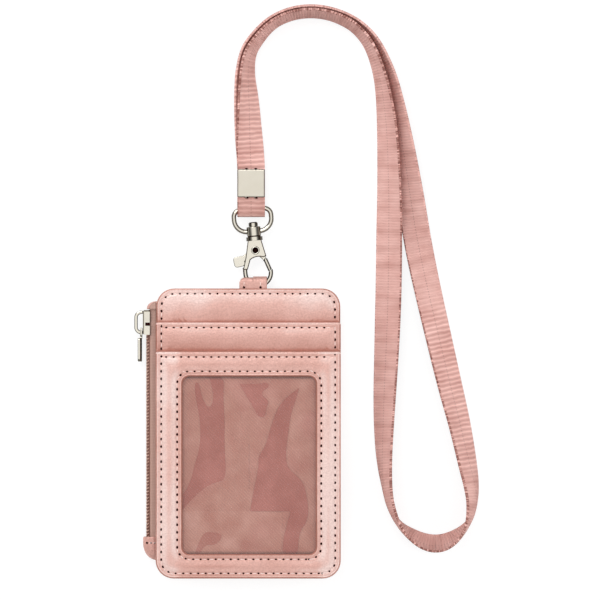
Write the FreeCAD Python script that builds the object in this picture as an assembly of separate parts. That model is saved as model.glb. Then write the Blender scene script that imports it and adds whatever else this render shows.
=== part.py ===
import FreeCAD, Part
import math
import os

Vector = FreeCAD.Vector

# An id badge wallet with a clear window, card slots, a side zip pocket and a neck lanyard.
# It lies on its back: +X to the right, +Y towards the lanyard, +Z up out of the window.
# The origin is the middle of the flat back. All sizes are in millimetres.

# Wallet panels
panel_width = 73.4
panel_height = 115.6
panel_corner_radius = 7.2
leather_bevel = 0.35
back_thickness = 1.2
back_edge_radius = 2.4
pocket_depth = 4.4
divider_thickness = 0.4
divider_inset = 0.6
base_thickness = 1.0
card_gap = 0.9
strip_thickness = 0.7
window_thickness = 1.0
film_thickness = 0.3
film_margin = 4.0
film_clearance = 0.1
hem_width = 5.0
slot_overhang = 0.2
slot_strip_drop = 13.5
window_panel_drop = 25.2
strip_tuck = 4.6
window_border_left = 10.5
window_border_right = 9.7
window_border_above = 9.9
window_border_below = 9.8
window_corner_radius = 2.8

# Hanger loop of folded leather at the top edge
loop_width = 11.0
loop_shift = 1.94
loop_leather = 0.8
loop_reach = 4.84
loop_tail = 9.8
loop_clearance = 0.2
loop_notch_width = 5.5
loop_notch_below_fold = 0.5

# Zip on the left side, facing -X
zip_row_width = 1.5
zip_row_gap = 0.45
zip_row_thickness = 1.4
zip_web_thickness = 0.5
zip_pitch = 1.3
zip_tooth_top_share = 0.45
zip_tooth_foot_share = 0.75
zip_top_inset = 1.8
zip_bottom_inset = 6.8
zip_stand_off = 2.8
tape_thickness = 0.45
tape_bend_radius = 1.5
tape_flange = 5.5
tape_upper_inset = 0.6
tape_lower_inset = 2.6

# Leather ends that close the zip side
end_wall = 0.8
end_proud = 0.9
lower_end_reach = 5.3
lower_end_length = 9.3
lower_end_straight = 2.6
upper_end_reach = 3.8
upper_end_length = 3.2
upper_end_above_zip = 0.7

# Zip slider, its bail and its pull
slider_length = 9.9
slider_above_zip = 0.4
slider_nose_half_width = 3.0
slider_tail_half_width = 2.7
slider_nose_length = 3.4
slider_tip_half_width = 2.2
slider_tip_length = 0.7
slider_plate = 1.0
slider_bevel = 0.5
slider_lip_reach = 1.8
slider_lip_gap = 1.3
slider_lip_gap_from_tail = 3.6
slider_clearance = 0.2
post_half_thickness = 0.2
post_length = 3.2
post_from_nose = 1.0
inner_plate = 0.7
inner_plate_half_width = 1.0
bail_bar = 1.0
bail_half_width = 0.9
bail_bend_radius = 2.1
bail_foot = 0.65
bail_end_inset = 0.9
pull_clearance = 0.3
pull_eye_plate = 0.9
pull_eye_bridge = 1.1
pull_half_width = 2.1
pull_neck_half_width = 1.3
pull_neck_length = 1.4
pull_bar_length = 9.4
pull_bar_thickness = 1.7
pull_bar_set_out = 0.55
pull_bar_corner = 0.6
pull_bar_end_radius = 1.4
pull_slant_width = 0.7
pull_slant_depth = 1.2

# Swivel hook, measured from the rivet that its gate turns on
wire_sides = 12
hook_lean = 5.0
pivot_x = 2.84
pivot_above_panel = 15.24
hook_wire_radius = 0.9
eye_radius = 5.1
eye_shift = 0.3
eye_below_pivot = 9.0
body_half_thickness = 1.9
body_bevel = 0.35
body_top = 5.0
body_top_half_width = 2.5
body_hip_half_width = 4.15
body_hip_below = 2.6
arch_below = 2.7
arch_right = 2.9
arch_right_below = 3.0
arch_left = 2.3
arch_left_below = 3.6
arm_outer = 5.6
arm_inner = 3.7
arm_below = 7.4
arm_overlap = 0.9
lever_half_thickness = 0.6
lever_side_clearance = 0.1
slot_top = 3.0
slot_bottom = 6.9
shoulder_radius = 3.3
shoulder_bottom = 3.9
shoulder_top = 5.4
shank_radius = 1.3
shank_head_radius = 1.85
shank_head_height = 1.75
shank_head_bevel = 0.4
swivel_end_clearance = 0.1
swivel_gap = 0.3
running_clearance = 0.05

# Gate lever, rivet and spring
rivet_radius = 1.3
rivet_bore_radius = 1.05
rivet_flange_radius = 1.7
rivet_flange = 0.3
rivet_seat_clearance = 0.02
lever_boss_radius = 2.1
gate_bar_radius = 0.85
gate_root_right = 3.55
gate_root_below = 3.7
gate_tip_clearance = 0.1
gate_reach = 9.95
nose_turn = 14.0
thumb_left = 6.85
thumb_below = 3.98
thumb_length = 4.4
thumb_height = 4.2
thumb_corner = 1.2
thumb_tilt = 8.0
lever_arm_half_width = 1.1
spring_leaf = 0.3
spring_half_width = 0.5
spring_root_right = 0.9
spring_root_length = 1.9
spring_bend_left = 2.6
spring_bend_above = 1.6
spring_tip_left = 3.3
spring_tip_below = 0.4

# Swivel ring with its collar
ring_wire_radius = 0.95
ring_half_width = 7.45
ring_bar_above_pivot = 16.5
ring_corner_radius = 2.7
ring_throat_radius = 5.0
collar_radius = 2.8
collar_height = 3.76

# Crimp plate on the lanyard
crimp_width = 10.9
crimp_height = 11.2
crimp_plate = 0.6
crimp_bevel = 0.25
crimp_x = 1.12
crimp_above_panel = 36.4
prong_width = 1.1
prong_thickness = 0.5
prong_fold = 2.4
prong_spacing = 3.7
prong_clearance = 0.1

# Lanyard strap: flat webbing, one length folded back through the crimp
strap_width = 11.0
strap_thickness = 0.9
strap_ply_gap = 0.05
strap_bar_clearance = 0.4
strap_loop_reach = 3.1
strap_tail_inset = 1.6
strap_fold_steps = 8

# The strap's way over the surface as (x, y, roll, lift): roll is the tilt of its width from flat,
# and lift is the height of its lower edge. It starts above the crimp and ends inside it.
strap_route = [
    (1.08, 107.2, 0, 3.75),
    (0.7, 112.5, 8, 2.9),
    (0.4, 119.8, 27, 2.1),
    (0.2, 127.2, 37, 1.65),
    (-0.1, 134.5, 46, 1.5),
    (-0.4, 140.4, 56, 1.2),
    (-0.4, 144.4, 61, 0.95),
    (0.2, 150.2, 66, 0.75),
    (2.2, 154.9, 69, 0.65),
    (9.0, 163.1, 74, 0.5),
    (16.6, 166.8, 74, 0.42),
    (24.4, 168.0, 74, 0.4),
    (32.0, 167.1, 74, 0.4),
    (38.7, 164.5, 73, 0.4),
    (43.8, 161.0, 73, 0.4),
    (48.8, 154.4, 72, 0.3),
    (52.3, 144.5, 67, 0.2),
    (54.1, 135.4, 60, 0.1),
    (55.6, 121.6, 46, 0),
    (56.1, 107.9, 39, 0),
    (56.4, 94.1, 32, 0),
    (56.3, 80.3, 25, 0),
    (56.2, 68.2, 24, 0),
    (56.0, 55.2, 24, 0),
    (55.6, 42.2, 27, 0),
    (55.1, 29.2, 33, 0),
    (54.5, 16.2, 39, 0),
    (54.1, 2.8, 48, 0),
    (54.2, -11.0, 60, 0),
    (55.8, -24.2, 76, 0),
    (58.2, -31.5, 84, 0),
    (60.9, -36.2, 93, 0),
    (64.4, -39.8, 108, 0),
    (69.2, -42.9, 120, 0),
    (74.0, -44.2, 126, 0),
    (78.4, -43.6, 123, 0),
    (82.6, -41.2, 112, 0),
    (86.0, -37.4, 95, 0),
    (88.3, -32.8, 78, 0),
    (89.3, -27.0, 68, 0),
    (89.0, -20.9, 59, 0),
    (87.8, -13.6, 50, 0),
    (84.6, 2.8, 40, 0),
    (81.2, 16.2, 31, 0),
    (78.1, 29.2, 26, 0),
    (75.1, 42.2, 21, 0),
    (72.1, 55.2, 17, 0),
    (69.3, 68.2, 9, 0),
    (67.0, 80.3, -4, 0),
    (65.0, 94.1, -22, 0),
    (63.0, 107.9, -36, 0),
    (60.8, 121.6, -47, 0),
    (58.2, 135.4, -58, 0),
    (56.0, 144.5, -65, 0),
    (51.2, 155.8, -72, 0),
    (45.4, 162.2, -73, 0),
    (39.3, 165.9, -73, 0),
    (32.2, 168.5, -74, 0),
    (24.4, 169.4, -74, 0),
    (16.1, 168.1, -74, 0),
    (8.0, 164.2, -74, 0),
    (0.7, 155.7, -69, 0),
    (-1.3, 150.6, -66, 0),
    (-2.1, 144.4, -61, 0),
    (-2.1, 140.4, -56, 0),
    (-1.6, 134.5, -46, 0),
    (-1.0, 127.2, -37, 0.1),
    (-0.3, 119.8, -27, 0.7),
    (0.7, 112.5, -8, 1.9),
    (1.08, 107.2, 0, 2.8),
]

overrun = 2.0

# Levels and edges that several pieces share
panel_right = panel_width / 2
panel_left = -panel_right
panel_top = panel_height / 2
panel_bottom = -panel_top
pocket_top_z = back_thickness + pocket_depth
middle_z = back_thickness + pocket_depth / 2
base_bottom_z = pocket_top_z + divider_thickness
base_top_z = base_bottom_z + base_thickness
strip_top_z = base_top_z + card_gap + strip_thickness
window_top_z = strip_top_z + card_gap + window_thickness
slot_half_width = panel_right + slot_overhang
slot_strip_top = panel_top - slot_strip_drop
window_panel_top = panel_top - window_panel_drop
strip_bottom = window_panel_top - strip_tuck
window_left = panel_left + window_border_left
window_right = panel_right - window_border_right
window_bottom = panel_bottom + window_border_below
window_top = window_panel_top - window_border_above
side_opening = panel_top - panel_corner_radius
zip_top = side_opening - zip_top_inset
zip_bottom = zip_bottom_inset - side_opening
zip_tooth_count = int((zip_top - zip_bottom) / zip_pitch)
row_inner_x = panel_left - zip_stand_off
row_outer_x = row_inner_x - zip_row_thickness
plate_inner_x = row_outer_x - slider_clearance
plate_outer_x = plate_inner_x - slider_plate
pivot_y = panel_top + pivot_above_panel
crimp_bottom = panel_top + crimp_above_panel
crimp_top = crimp_bottom + crimp_height
ply_step = strap_thickness + strap_ply_gap
front_ply_z = middle_z + ply_step
back_ply_z = middle_z - ply_step
crimp_bottom_z = front_ply_z + strap_thickness / 2


def box(x0, x1, y0, y1, z0, z1):
    return Part.makeBox(x1 - x0, y1 - y0, z1 - z0, Vector(x0, y0, z0))


def rounded_outline(x0, x1, y0, y1, lower_radius, upper_radius, z):
    """A closed outline at height z with rounded lower and upper corners; a radius of 0 leaves them square."""
    edges = []
    corners = [
        (x1, y0, -1, 1, lower_radius, 270),
        (x1, y1, -1, -1, upper_radius, 0),
        (x0, y1, 1, -1, upper_radius, 90),
        (x0, y0, 1, 1, lower_radius, 180),
    ]
    ends = []
    for x, y, to_x, to_y, radius, start in corners:
        centre = Vector(x + to_x * radius, y + to_y * radius, z)
        if radius:
            circle = Part.Circle(centre, Vector(0, 0, 1), radius)
            first = math.radians(start)
            arc = Part.Arc(circle, first, first + math.pi / 2).toShape()
            edges.append(arc)
            ends.append((arc.valueAt(arc.FirstParameter), arc.valueAt(arc.LastParameter)))
        else:
            ends.append((centre, centre))
    for i in range(len(ends)):
        edges.append(Part.makeLine(ends[i - 1][1], ends[i][0]))
    return Part.Wire(Part.__sortEdges__(edges))


def slab(x0, x1, y0, y1, z0, z1, lower_radius, upper_radius):
    outline = rounded_outline(x0, x1, y0, y1, lower_radius, upper_radius, z0)
    return Part.Face(outline).extrude(Vector(0, 0, z1 - z0))


def polygon_prism(points, direction):
    """A prism from a closed list of points, pushed along direction."""
    wire = Part.makePolygon(points + points[:1])
    return Part.Face(wire).extrude(direction)


def edges_at_height(shape, z):
    """Edges that lie flat at a height."""
    near = Part.Precision.confusion()
    return [e for e in shape.Edges if abs(e.BoundBox.ZMin - z) < near and abs(e.BoundBox.ZMax - z) < near]


def round_edges_at(shape, z, radius):
    return shape.makeFillet(radius, edges_at_height(shape, z))


def bevel_edges_at(shape, z, width):
    return shape.makeChamfer(width, edges_at_height(shape, z))


def export(name, shape):
    solid = shape.removeSplitter()
    if solid.ShapeType != "Solid" and len(solid.Solids) == 1:
        solid = solid.Solids[0]
    solid.exportStep("parts/" + name + ".step")
    print(name, solid.ShapeType, solid.isValid(), round(solid.Volume, 2))


# Wallet panels


def make_back_panel():
    """Dished back with its rim sewn to the front on three sides and open to the zip on the left."""
    outer = slab(panel_left, panel_right, panel_bottom, panel_top, 0, pocket_top_z,
                 panel_corner_radius, panel_corner_radius)
    outer = round_edges_at(outer, 0, back_edge_radius)
    wall = back_thickness
    hollow = slab(panel_left + wall, panel_right - wall, panel_bottom + wall, panel_top - wall,
                  back_thickness, pocket_top_z + overrun,
                  panel_corner_radius - wall, panel_corner_radius - wall)
    zip_side = box(panel_left - overrun, 0, -side_opening, side_opening,
                   back_thickness, pocket_top_z + overrun)
    loop_left = loop_shift - loop_width / 2 - loop_clearance
    loop_right = loop_shift + loop_width / 2 + loop_clearance
    loop_gate = box(loop_left, loop_right, 0, panel_top + overrun, back_thickness, pocket_top_z + overrun)
    return outer.cut(hollow).cut(zip_side).cut(loop_gate)


def make_pocket_divider():
    inset = divider_inset
    return slab(panel_left + inset, panel_right - inset, panel_bottom + inset, panel_top - inset,
                pocket_top_z, base_bottom_z, panel_corner_radius - inset, panel_corner_radius - inset)


def make_base_panel():
    panel = slab(panel_left, panel_right, panel_bottom, panel_top, base_bottom_z, base_top_z,
                 panel_corner_radius, panel_corner_radius)
    return bevel_edges_at(panel, base_top_z, leather_bevel)


def make_slot_strip():
    """Leather band at the mouth of the upper slot, turned under at both sides."""
    strip = box(-slot_half_width, slot_half_width, strip_bottom, slot_strip_top, base_top_z, strip_top_z)
    strip = bevel_edges_at(strip, strip_top_z, leather_bevel)
    inner = slot_half_width - hem_width
    card_space = box(-inner, inner, strip_bottom - overrun, slot_strip_top + overrun,
                     base_top_z, base_top_z + card_gap)
    return strip.cut(card_space)


def pocket_hollow(top, z):
    """Card space inside a hem on the left, the right and below, open at the top."""
    inner = slot_half_width - hem_width
    corner = panel_corner_radius - hem_width
    return slab(-inner, inner, panel_bottom + hem_width, top + overrun, z, z + card_gap, corner, 0)


def make_slot_lining():
    """Lining cloth that carries the slot on below the leather band and shows through the window."""
    sheet = slab(-slot_half_width, slot_half_width, panel_bottom, strip_bottom,
                 base_top_z, strip_top_z, panel_corner_radius, 0)
    return sheet.cut(pocket_hollow(strip_bottom, base_top_z))


def window_slab(margin, z0, z1):
    radius = window_corner_radius + margin
    return slab(window_left - margin, window_right + margin, window_bottom - margin, window_top + margin,
                z0, z1, radius, radius)


def make_window_panel():
    panel = slab(-slot_half_width, slot_half_width, panel_bottom, window_panel_top,
                 strip_top_z, window_top_z, panel_corner_radius, 0)
    panel = panel.cut(window_slab(0, strip_top_z - overrun, window_top_z + overrun))
    panel = bevel_edges_at(panel, window_top_z, leather_bevel)
    panel = panel.cut(pocket_hollow(window_panel_top, strip_top_z))
    seat_z = strip_top_z + card_gap
    return panel.cut(window_slab(film_margin + film_clearance, seat_z, seat_z + film_thickness))


def make_window_film():
    seat_z = strip_top_z + card_gap
    return window_slab(film_margin, seat_z, seat_z + film_thickness)


def make_hanger_loop():
    """Leather strip folded over the hook, with its tails in the pocket and the hook's arm beside the fold."""
    outer = pocket_depth / 2
    inner = outer - loop_leather
    left = loop_shift - loop_width / 2
    fold_y = panel_top + loop_reach - outer
    tail_y = panel_top - loop_tail
    fold = Part.makeCylinder(outer, loop_width, Vector(left, fold_y, middle_z), Vector(1, 0, 0))
    tails = box(left, left + loop_width, tail_y, fold_y, back_thickness, pocket_top_z)
    strip = fold.fuse(tails).removeSplitter()
    bore = Part.makeCylinder(inner, loop_width, Vector(left, fold_y, middle_z), Vector(1, 0, 0))
    space = box(left, left + loop_width, tail_y - overrun, fold_y, middle_z - inner, middle_z + inner)
    notch = box(left - overrun, left + loop_notch_width, fold_y - loop_notch_below_fold,
                fold_y + outer + overrun, middle_z - inner, middle_z + inner)
    return strip.cut(bore.fuse(space)).cut(notch)


# Zip


def make_zip_tape(side):
    """Woven tape that bends round into the pocket. side is 1 for the front and -1 for the back."""
    outer = tape_bend_radius
    inner = tape_bend_radius - tape_thickness
    centre_x = row_inner_x + outer
    flange_z = middle_z + side * pocket_depth / 2
    centre_z = flange_z - side * outer
    start_z = middle_z + side * zip_row_gap
    end_x = panel_left + tape_flange
    low = -side_opening + tape_lower_inset
    high = side_opening - tape_upper_inset
    diagonal = math.sqrt(2) / 2

    def point(x, z):
        return Vector(x, low, z)

    def bend(radius):
        first = point(centre_x - radius, centre_z)
        middle = point(centre_x - radius * diagonal, centre_z + side * radius * diagonal)
        last = point(centre_x, centre_z + side * radius)
        return Part.Arc(first, middle, last).toShape()

    edges = [
        Part.makeLine(point(row_inner_x, start_z), point(row_inner_x, centre_z)),
        bend(outer),
        Part.makeLine(point(centre_x, flange_z), point(end_x, flange_z)),
        Part.makeLine(point(end_x, flange_z), point(end_x, flange_z - side * tape_thickness)),
        Part.makeLine(point(end_x, flange_z - side * tape_thickness),
                      point(centre_x, flange_z - side * tape_thickness)),
        bend(inner),
        Part.makeLine(point(centre_x - inner, centre_z), point(centre_x - inner, start_z)),
        Part.makeLine(point(centre_x - inner, start_z), point(row_inner_x, start_z)),
    ]
    profile = Part.Face(Part.Wire(Part.__sortEdges__(edges)))
    return profile.extrude(Vector(0, high - low, 0))


def make_zip_row(side):
    """One row of teeth on its web, made as a toothed outline; the back row is half a pitch lower."""
    start_z = middle_z + side * zip_row_gap
    top = zip_top - (zip_pitch / 2 if side < 0 else 0)
    web_x = row_inner_x - zip_web_thickness
    foot = zip_pitch * zip_tooth_foot_share / 2
    crest = zip_pitch * zip_tooth_top_share / 2
    points = [Vector(row_inner_x, top, start_z), Vector(web_x, top, start_z)]
    for i in range(zip_tooth_count):
        y = top - (i + 1) * zip_pitch + zip_pitch / 2
        points.append(Vector(web_x, y + foot, start_z))
        points.append(Vector(row_outer_x, y + crest, start_z))
        points.append(Vector(row_outer_x, y - crest, start_z))
        points.append(Vector(web_x, y - foot, start_z))
    bottom = top - zip_tooth_count * zip_pitch
    points.append(Vector(web_x, bottom, start_z))
    points.append(Vector(row_inner_x, bottom, start_z))
    return polygon_prism(points, Vector(0, 0, side * zip_row_width))


def end_profile(reach, start_y, length, straight, turn, z):
    """Outline of a leather zip end: straight beside the zip, then curving in to the panel."""
    right = panel_left
    left = right - reach
    bend_y = start_y + turn * straight
    end_y = start_y + turn * length
    diagonal = math.sqrt(2) / 2
    middle = Vector(right - reach * diagonal, bend_y + (end_y - bend_y) * diagonal, z)
    edges = [
        Part.makeLine(Vector(right, start_y, z), Vector(left, start_y, z)),
        Part.Arc(Vector(left, bend_y, z), middle, Vector(right, end_y, z)).toShape(),
        Part.makeLine(Vector(right, end_y, z), Vector(right, start_y, z)),
    ]
    if straight:
        edges.append(Part.makeLine(Vector(left, start_y, z), Vector(left, bend_y, z)))
    return Part.Face(Part.Wire(Part.__sortEdges__(edges)))


def make_zip_end(reach, start_y, length, straight, turn):
    """Leather folded round the end of the zip: a shell, open to the zip and to the pocket."""
    low = back_thickness - end_proud
    high = pocket_top_z + end_proud
    shell = end_profile(reach, start_y, length, straight, turn, low).extrude(Vector(0, 0, high - low))
    wall = end_wall
    hollow = end_profile(reach - wall, start_y, length - wall, straight, turn, low + wall)
    hollow = hollow.extrude(Vector(0, 0, high - low - 2 * wall))
    inner_left = panel_left - reach + wall
    mouth_y = sorted([start_y, start_y - turn * overrun])
    mouth = box(inner_left, panel_left, mouth_y[0], mouth_y[1], low + wall, high - wall)
    return shell.cut(hollow.fuse(mouth))


def make_zip_end_upper():
    start_y = zip_top + upper_end_above_zip
    return make_zip_end(upper_end_reach, start_y, upper_end_length, 0, 1)


def make_zip_end_lower():
    end_y = -side_opening
    start_y = end_y + lower_end_length
    return make_zip_end(lower_end_reach, start_y, lower_end_length, lower_end_straight, -1)


# Zip slider and pull

slider_top = zip_top + slider_above_zip
slider_bottom = slider_top - slider_length


def make_slider_body():
    """Cast slider: outer plate, lips round the teeth, a thin post between the rows, and an inner plate."""
    nose_y = slider_top - slider_tip_length
    waist_y = slider_top - slider_nose_length
    half_outline = [
        (slider_bottom, slider_tail_half_width),
        (waist_y - slider_tip_length, slider_tail_half_width),
        (waist_y, slider_nose_half_width),
        (nose_y, slider_nose_half_width),
        (slider_top, slider_tip_half_width),
    ]
    points = [Vector(plate_outer_x, y, middle_z + half) for y, half in half_outline]
    points += [Vector(plate_outer_x, y, middle_z - half) for y, half in reversed(half_outline)]
    body = polygon_prism(points, Vector(slider_plate + slider_lip_reach, 0, 0))
    channel_half = zip_row_gap + zip_row_width + slider_clearance
    lip_end_x = plate_inner_x + slider_lip_reach
    channel = box(plate_inner_x, lip_end_x + overrun, slider_bottom - overrun, slider_top + overrun,
                  middle_z - channel_half, middle_z + channel_half)
    gap_y = slider_bottom + slider_lip_gap_from_tail
    lip_gap = box(plate_inner_x, lip_end_x + overrun, gap_y, gap_y + slider_lip_gap,
                  middle_z - slider_nose_half_width - overrun, middle_z + slider_nose_half_width + overrun)
    inner_x = row_inner_x + tape_thickness + slider_clearance
    post_top = slider_top - post_from_nose
    post = box(plate_inner_x, inner_x, post_top - post_length, post_top,
               middle_z - post_half_thickness, middle_z + post_half_thickness)
    inner = box(inner_x, inner_x + inner_plate, slider_bottom, slider_top - post_from_nose / 2,
                middle_z - inner_plate_half_width, middle_z + inner_plate_half_width)
    face_edges = [e for e in body.Edges if e.BoundBox.XMax < plate_outer_x + slider_bevel / 2]
    body = body.makeChamfer(slider_bevel, face_edges)
    return body.cut(channel).cut(lip_gap).fuse(post).fuse(inner)


bail_centre_x = plate_outer_x - bail_foot
bail_low_y = slider_bottom + bail_end_inset + bail_bend_radius
bail_high_y = slider_top - bail_end_inset - bail_bend_radius


def bail_side(radius, z):
    """One side of the bail's bar at a given bend radius, from its upper foot to its lower foot."""
    diagonal = radius * math.sqrt(2) / 2
    x = bail_centre_x
    upper = [
        Vector(x, bail_high_y + radius, z),
        Vector(x - diagonal, bail_high_y + diagonal, z),
        Vector(x - radius, bail_high_y, z),
    ]
    lower = [
        Vector(x - radius, bail_low_y, z),
        Vector(x - diagonal, bail_low_y - diagonal, z),
        Vector(x, bail_low_y - radius, z),
    ]
    upper_foot = Vector(plate_outer_x, bail_high_y + radius, z)
    lower_foot = Vector(plate_outer_x, bail_low_y - radius, z)
    edges = [
        Part.makeLine(upper_foot, upper[0]),
        Part.Arc(upper[0], upper[1], upper[2]).toShape(),
        Part.makeLine(upper[2], lower[0]),
        Part.Arc(lower[0], lower[1], lower[2]).toShape(),
        Part.makeLine(lower[2], lower_foot),
    ]
    return edges, upper_foot, lower_foot


def make_slider_bail():
    """Arched bail on the outer plate, standing in the plane of the zip's travel."""
    low = middle_z - bail_half_width
    outside, outside_top, outside_low = bail_side(bail_bend_radius + bail_bar / 2, low)
    inside, inside_top, inside_low = bail_side(bail_bend_radius - bail_bar / 2, low)
    caps = [Part.makeLine(outside_top, inside_top), Part.makeLine(outside_low, inside_low)]
    wire = Part.Wire(Part.__sortEdges__(outside + inside + caps))
    return Part.Face(wire).extrude(Vector(0, 0, 2 * bail_half_width))


def pull_plate(low, high, thickness, x, lower_radius):
    """Flat plate across the zip with rounded corners, its thickness centred on x."""
    plate = slab(-pull_half_width, pull_half_width, low, high, -thickness / 2, thickness / 2,
                 lower_radius, pull_bar_corner)
    plate.rotate(Vector(0, 0, 0), Vector(0, 1, 0), 90)
    plate.translate(Vector(x, 0, middle_z))
    return plate


def make_zip_pull():
    """Pull that hangs from the bail's lower bend: an eye round the bar, a neck and a handle."""
    hole_top = bail_low_y - bail_bend_radius + bail_bar / 2 + pull_clearance
    hole_bottom = bail_low_y - bail_bend_radius - bail_bar / 2 - pull_clearance
    eye_top = hole_top + pull_eye_bridge
    neck_top = hole_bottom
    handle_top = neck_top - pull_neck_length
    eye_x0 = bail_centre_x - pull_eye_plate / 2
    eye_x1 = bail_centre_x + pull_eye_plate / 2
    eye = pull_plate(neck_top - pull_neck_length / 2, eye_top, pull_eye_plate, bail_centre_x, pull_bar_corner)
    hole_half = bail_half_width + pull_clearance
    hole = box(eye_x0 - overrun, eye_x1 + overrun, hole_bottom, hole_top,
               middle_z - hole_half, middle_z + hole_half)
    neck = box(eye_x0, eye_x1, handle_top, neck_top,
               middle_z - pull_neck_half_width, middle_z + pull_neck_half_width)
    handle = pull_plate(handle_top - pull_bar_length, handle_top, pull_bar_thickness,
                        bail_centre_x - pull_bar_set_out, pull_bar_end_radius)
    handle_right = bail_centre_x - pull_bar_set_out + pull_bar_thickness / 2
    for side in (1, -1):
        edge_z = middle_z + side * pull_half_width
        low_y = handle_top - pull_bar_length
        slant = [
            Vector(handle_right - pull_slant_width, low_y, edge_z),
            Vector(handle_right, low_y, edge_z - side * pull_slant_depth),
            Vector(handle_right, low_y, edge_z),
        ]
        handle = handle.cut(polygon_prism(slant, Vector(0, pull_bar_length, 0)))
    return eye.cut(hole).fuse(neck).fuse(handle)


# Swivel hook, drawn upright with the gate's rivet at the origin and then leaned into place


def lean(shape):
    placed = shape.copy()
    placed.rotate(Vector(0, 0, 0), Vector(0, 0, 1), hook_lean)
    placed.translate(Vector(pivot_x, pivot_y, middle_z))
    return placed


def upright_cylinder(radius, low, high):
    return Part.makeCylinder(radius, high - low, Vector(0, low, 0), Vector(0, 1, 0))


collar_low = shoulder_top + swivel_gap
collar_high = collar_low + collar_height
head_low = collar_high + swivel_end_clearance


def hook_plate():
    """Outline of the cast body with its left arm, pushed to its full thickness."""
    z = -body_half_thickness
    edges = []
    corners = [
        Vector(-arm_inner, -arm_below, z),
        Vector(-arm_outer, -arm_below, z),
        Vector(-body_hip_half_width, -body_hip_below, z),
        Vector(-body_top_half_width, body_top, z),
        Vector(body_top_half_width, body_top, z),
        Vector(body_hip_half_width, -body_hip_below, z),
        Vector(arch_right, -arch_right_below, z),
    ]
    for start, end in zip(corners, corners[1:]):
        edges.append(Part.makeLine(start, end))
    arch_left_end = Vector(-arch_left, -arch_left_below, z)
    arch = Part.Arc(corners[-1], Vector(0, -arch_below, z), arch_left_end)
    edges.append(arch.toShape())
    edges.append(Part.makeLine(arch_left_end, corners[0]))
    plate = Part.Face(Part.Wire(Part.__sortEdges__(edges))).extrude(Vector(0, 0, 2 * body_half_thickness))
    return bevel_edges_at(bevel_edges_at(plate, z, body_bevel), -z, body_bevel)


def wire_face(centre, radius, side):
    """Many-sided section of a wire, upright in Z, with the given sideways direction."""
    corners = []
    for i in range(wire_sides + 1):
        angle = 2 * math.pi * i / wire_sides
        corners.append(centre + side * (radius * math.cos(angle)) + Vector(0, 0, radius * math.sin(angle)))
    return Part.Face(Part.makePolygon(corners))


def wire_bend(centre, radius, wire_radius, start, turn):
    """Wire bent about a centre, from a start angle through a turn."""
    angle = math.radians(start)
    side = Vector(math.cos(angle), math.sin(angle), 0)
    return wire_face(centre + side * radius, wire_radius, side).revolve(centre, Vector(0, 0, 1), turn)


def wire_run(start, end, wire_radius):
    """Straight wire between two points of one height."""
    along = (end - start).normalize()
    return wire_face(start, wire_radius, Vector(along.y, -along.x, 0)).extrude(end - start)


def eye_bow():
    """Round bar of the eye: down the left arm and round the bottom to the nose."""
    left = Vector(eye_shift - eye_radius, -eye_below_pivot, 0)
    top = left + Vector(0, eye_below_pivot - arm_below + arm_overlap, 0)
    arm = wire_run(left, top, hook_wire_radius)
    centre = Vector(eye_shift, -eye_below_pivot, 0)
    bow = wire_bend(centre, eye_radius, hook_wire_radius, 180, 180)
    nose = wire_bend(centre, eye_radius, hook_wire_radius, 0, nose_turn)
    swing = Part.makeCylinder(gate_reach + gate_tip_clearance, 2 * body_half_thickness,
                              Vector(0, 0, -body_half_thickness))
    return arm.fuse(bow).fuse(nose.cut(swing))


def make_hook_body():
    """Cast hook with its slotted body, open eye, and a shank that is riveted over in the swivel collar."""
    slot_half = lever_half_thickness + lever_side_clearance
    reach = arm_outer + overrun
    slot = box(-reach, reach, -slot_bottom, slot_top, -slot_half, slot_half)
    bore = Part.makeCylinder(rivet_radius + rivet_seat_clearance, 2 * (body_half_thickness + overrun),
                             Vector(0, 0, -body_half_thickness - overrun))
    shoulder = upright_cylinder(shoulder_radius, shoulder_bottom, shoulder_top)
    shank = upright_cylinder(shank_radius, shoulder_top, head_low)
    head = upright_cylinder(shank_head_radius, head_low, head_low + shank_head_height)
    rim = [e for e in head.Edges if e.BoundBox.YMin > head_low + shank_head_height / 2
           and e.BoundBox.XLength > shank_head_radius]
    head = head.makeChamfer(shank_head_bevel, rim)
    body = hook_plate().cut(slot).fuse(eye_bow())
    return lean(body.fuse(shoulder).fuse(shank).fuse(head).cut(bore))


def make_gate_rivet():
    """Tubular rivet through both cheeks, rolled over on each face."""
    seat = body_half_thickness
    barrel = Part.makeCylinder(rivet_radius, 2 * seat, Vector(0, 0, -seat))
    front = Part.makeCylinder(rivet_flange_radius, rivet_flange, Vector(0, 0, seat))
    back = Part.makeCylinder(rivet_flange_radius, rivet_flange, Vector(0, 0, -seat - rivet_flange))
    outer = seat + rivet_flange
    bore = Part.makeCylinder(rivet_bore_radius, 2 * (outer + overrun), Vector(0, 0, -outer - overrun))
    return lean(barrel.fuse(front).fuse(back).cut(bore))


def lever_strip(start, end, half_width):
    """Flat strip of the lever between two points."""
    along = (end - start).normalize()
    across = Vector(-along.y, along.x, 0) * half_width
    down = Vector(0, 0, -lever_half_thickness)
    corners = [start + across + down, start - across + down, end - across + down, end + across + down]
    return polygon_prism(corners, Vector(0, 0, 2 * lever_half_thickness))


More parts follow.
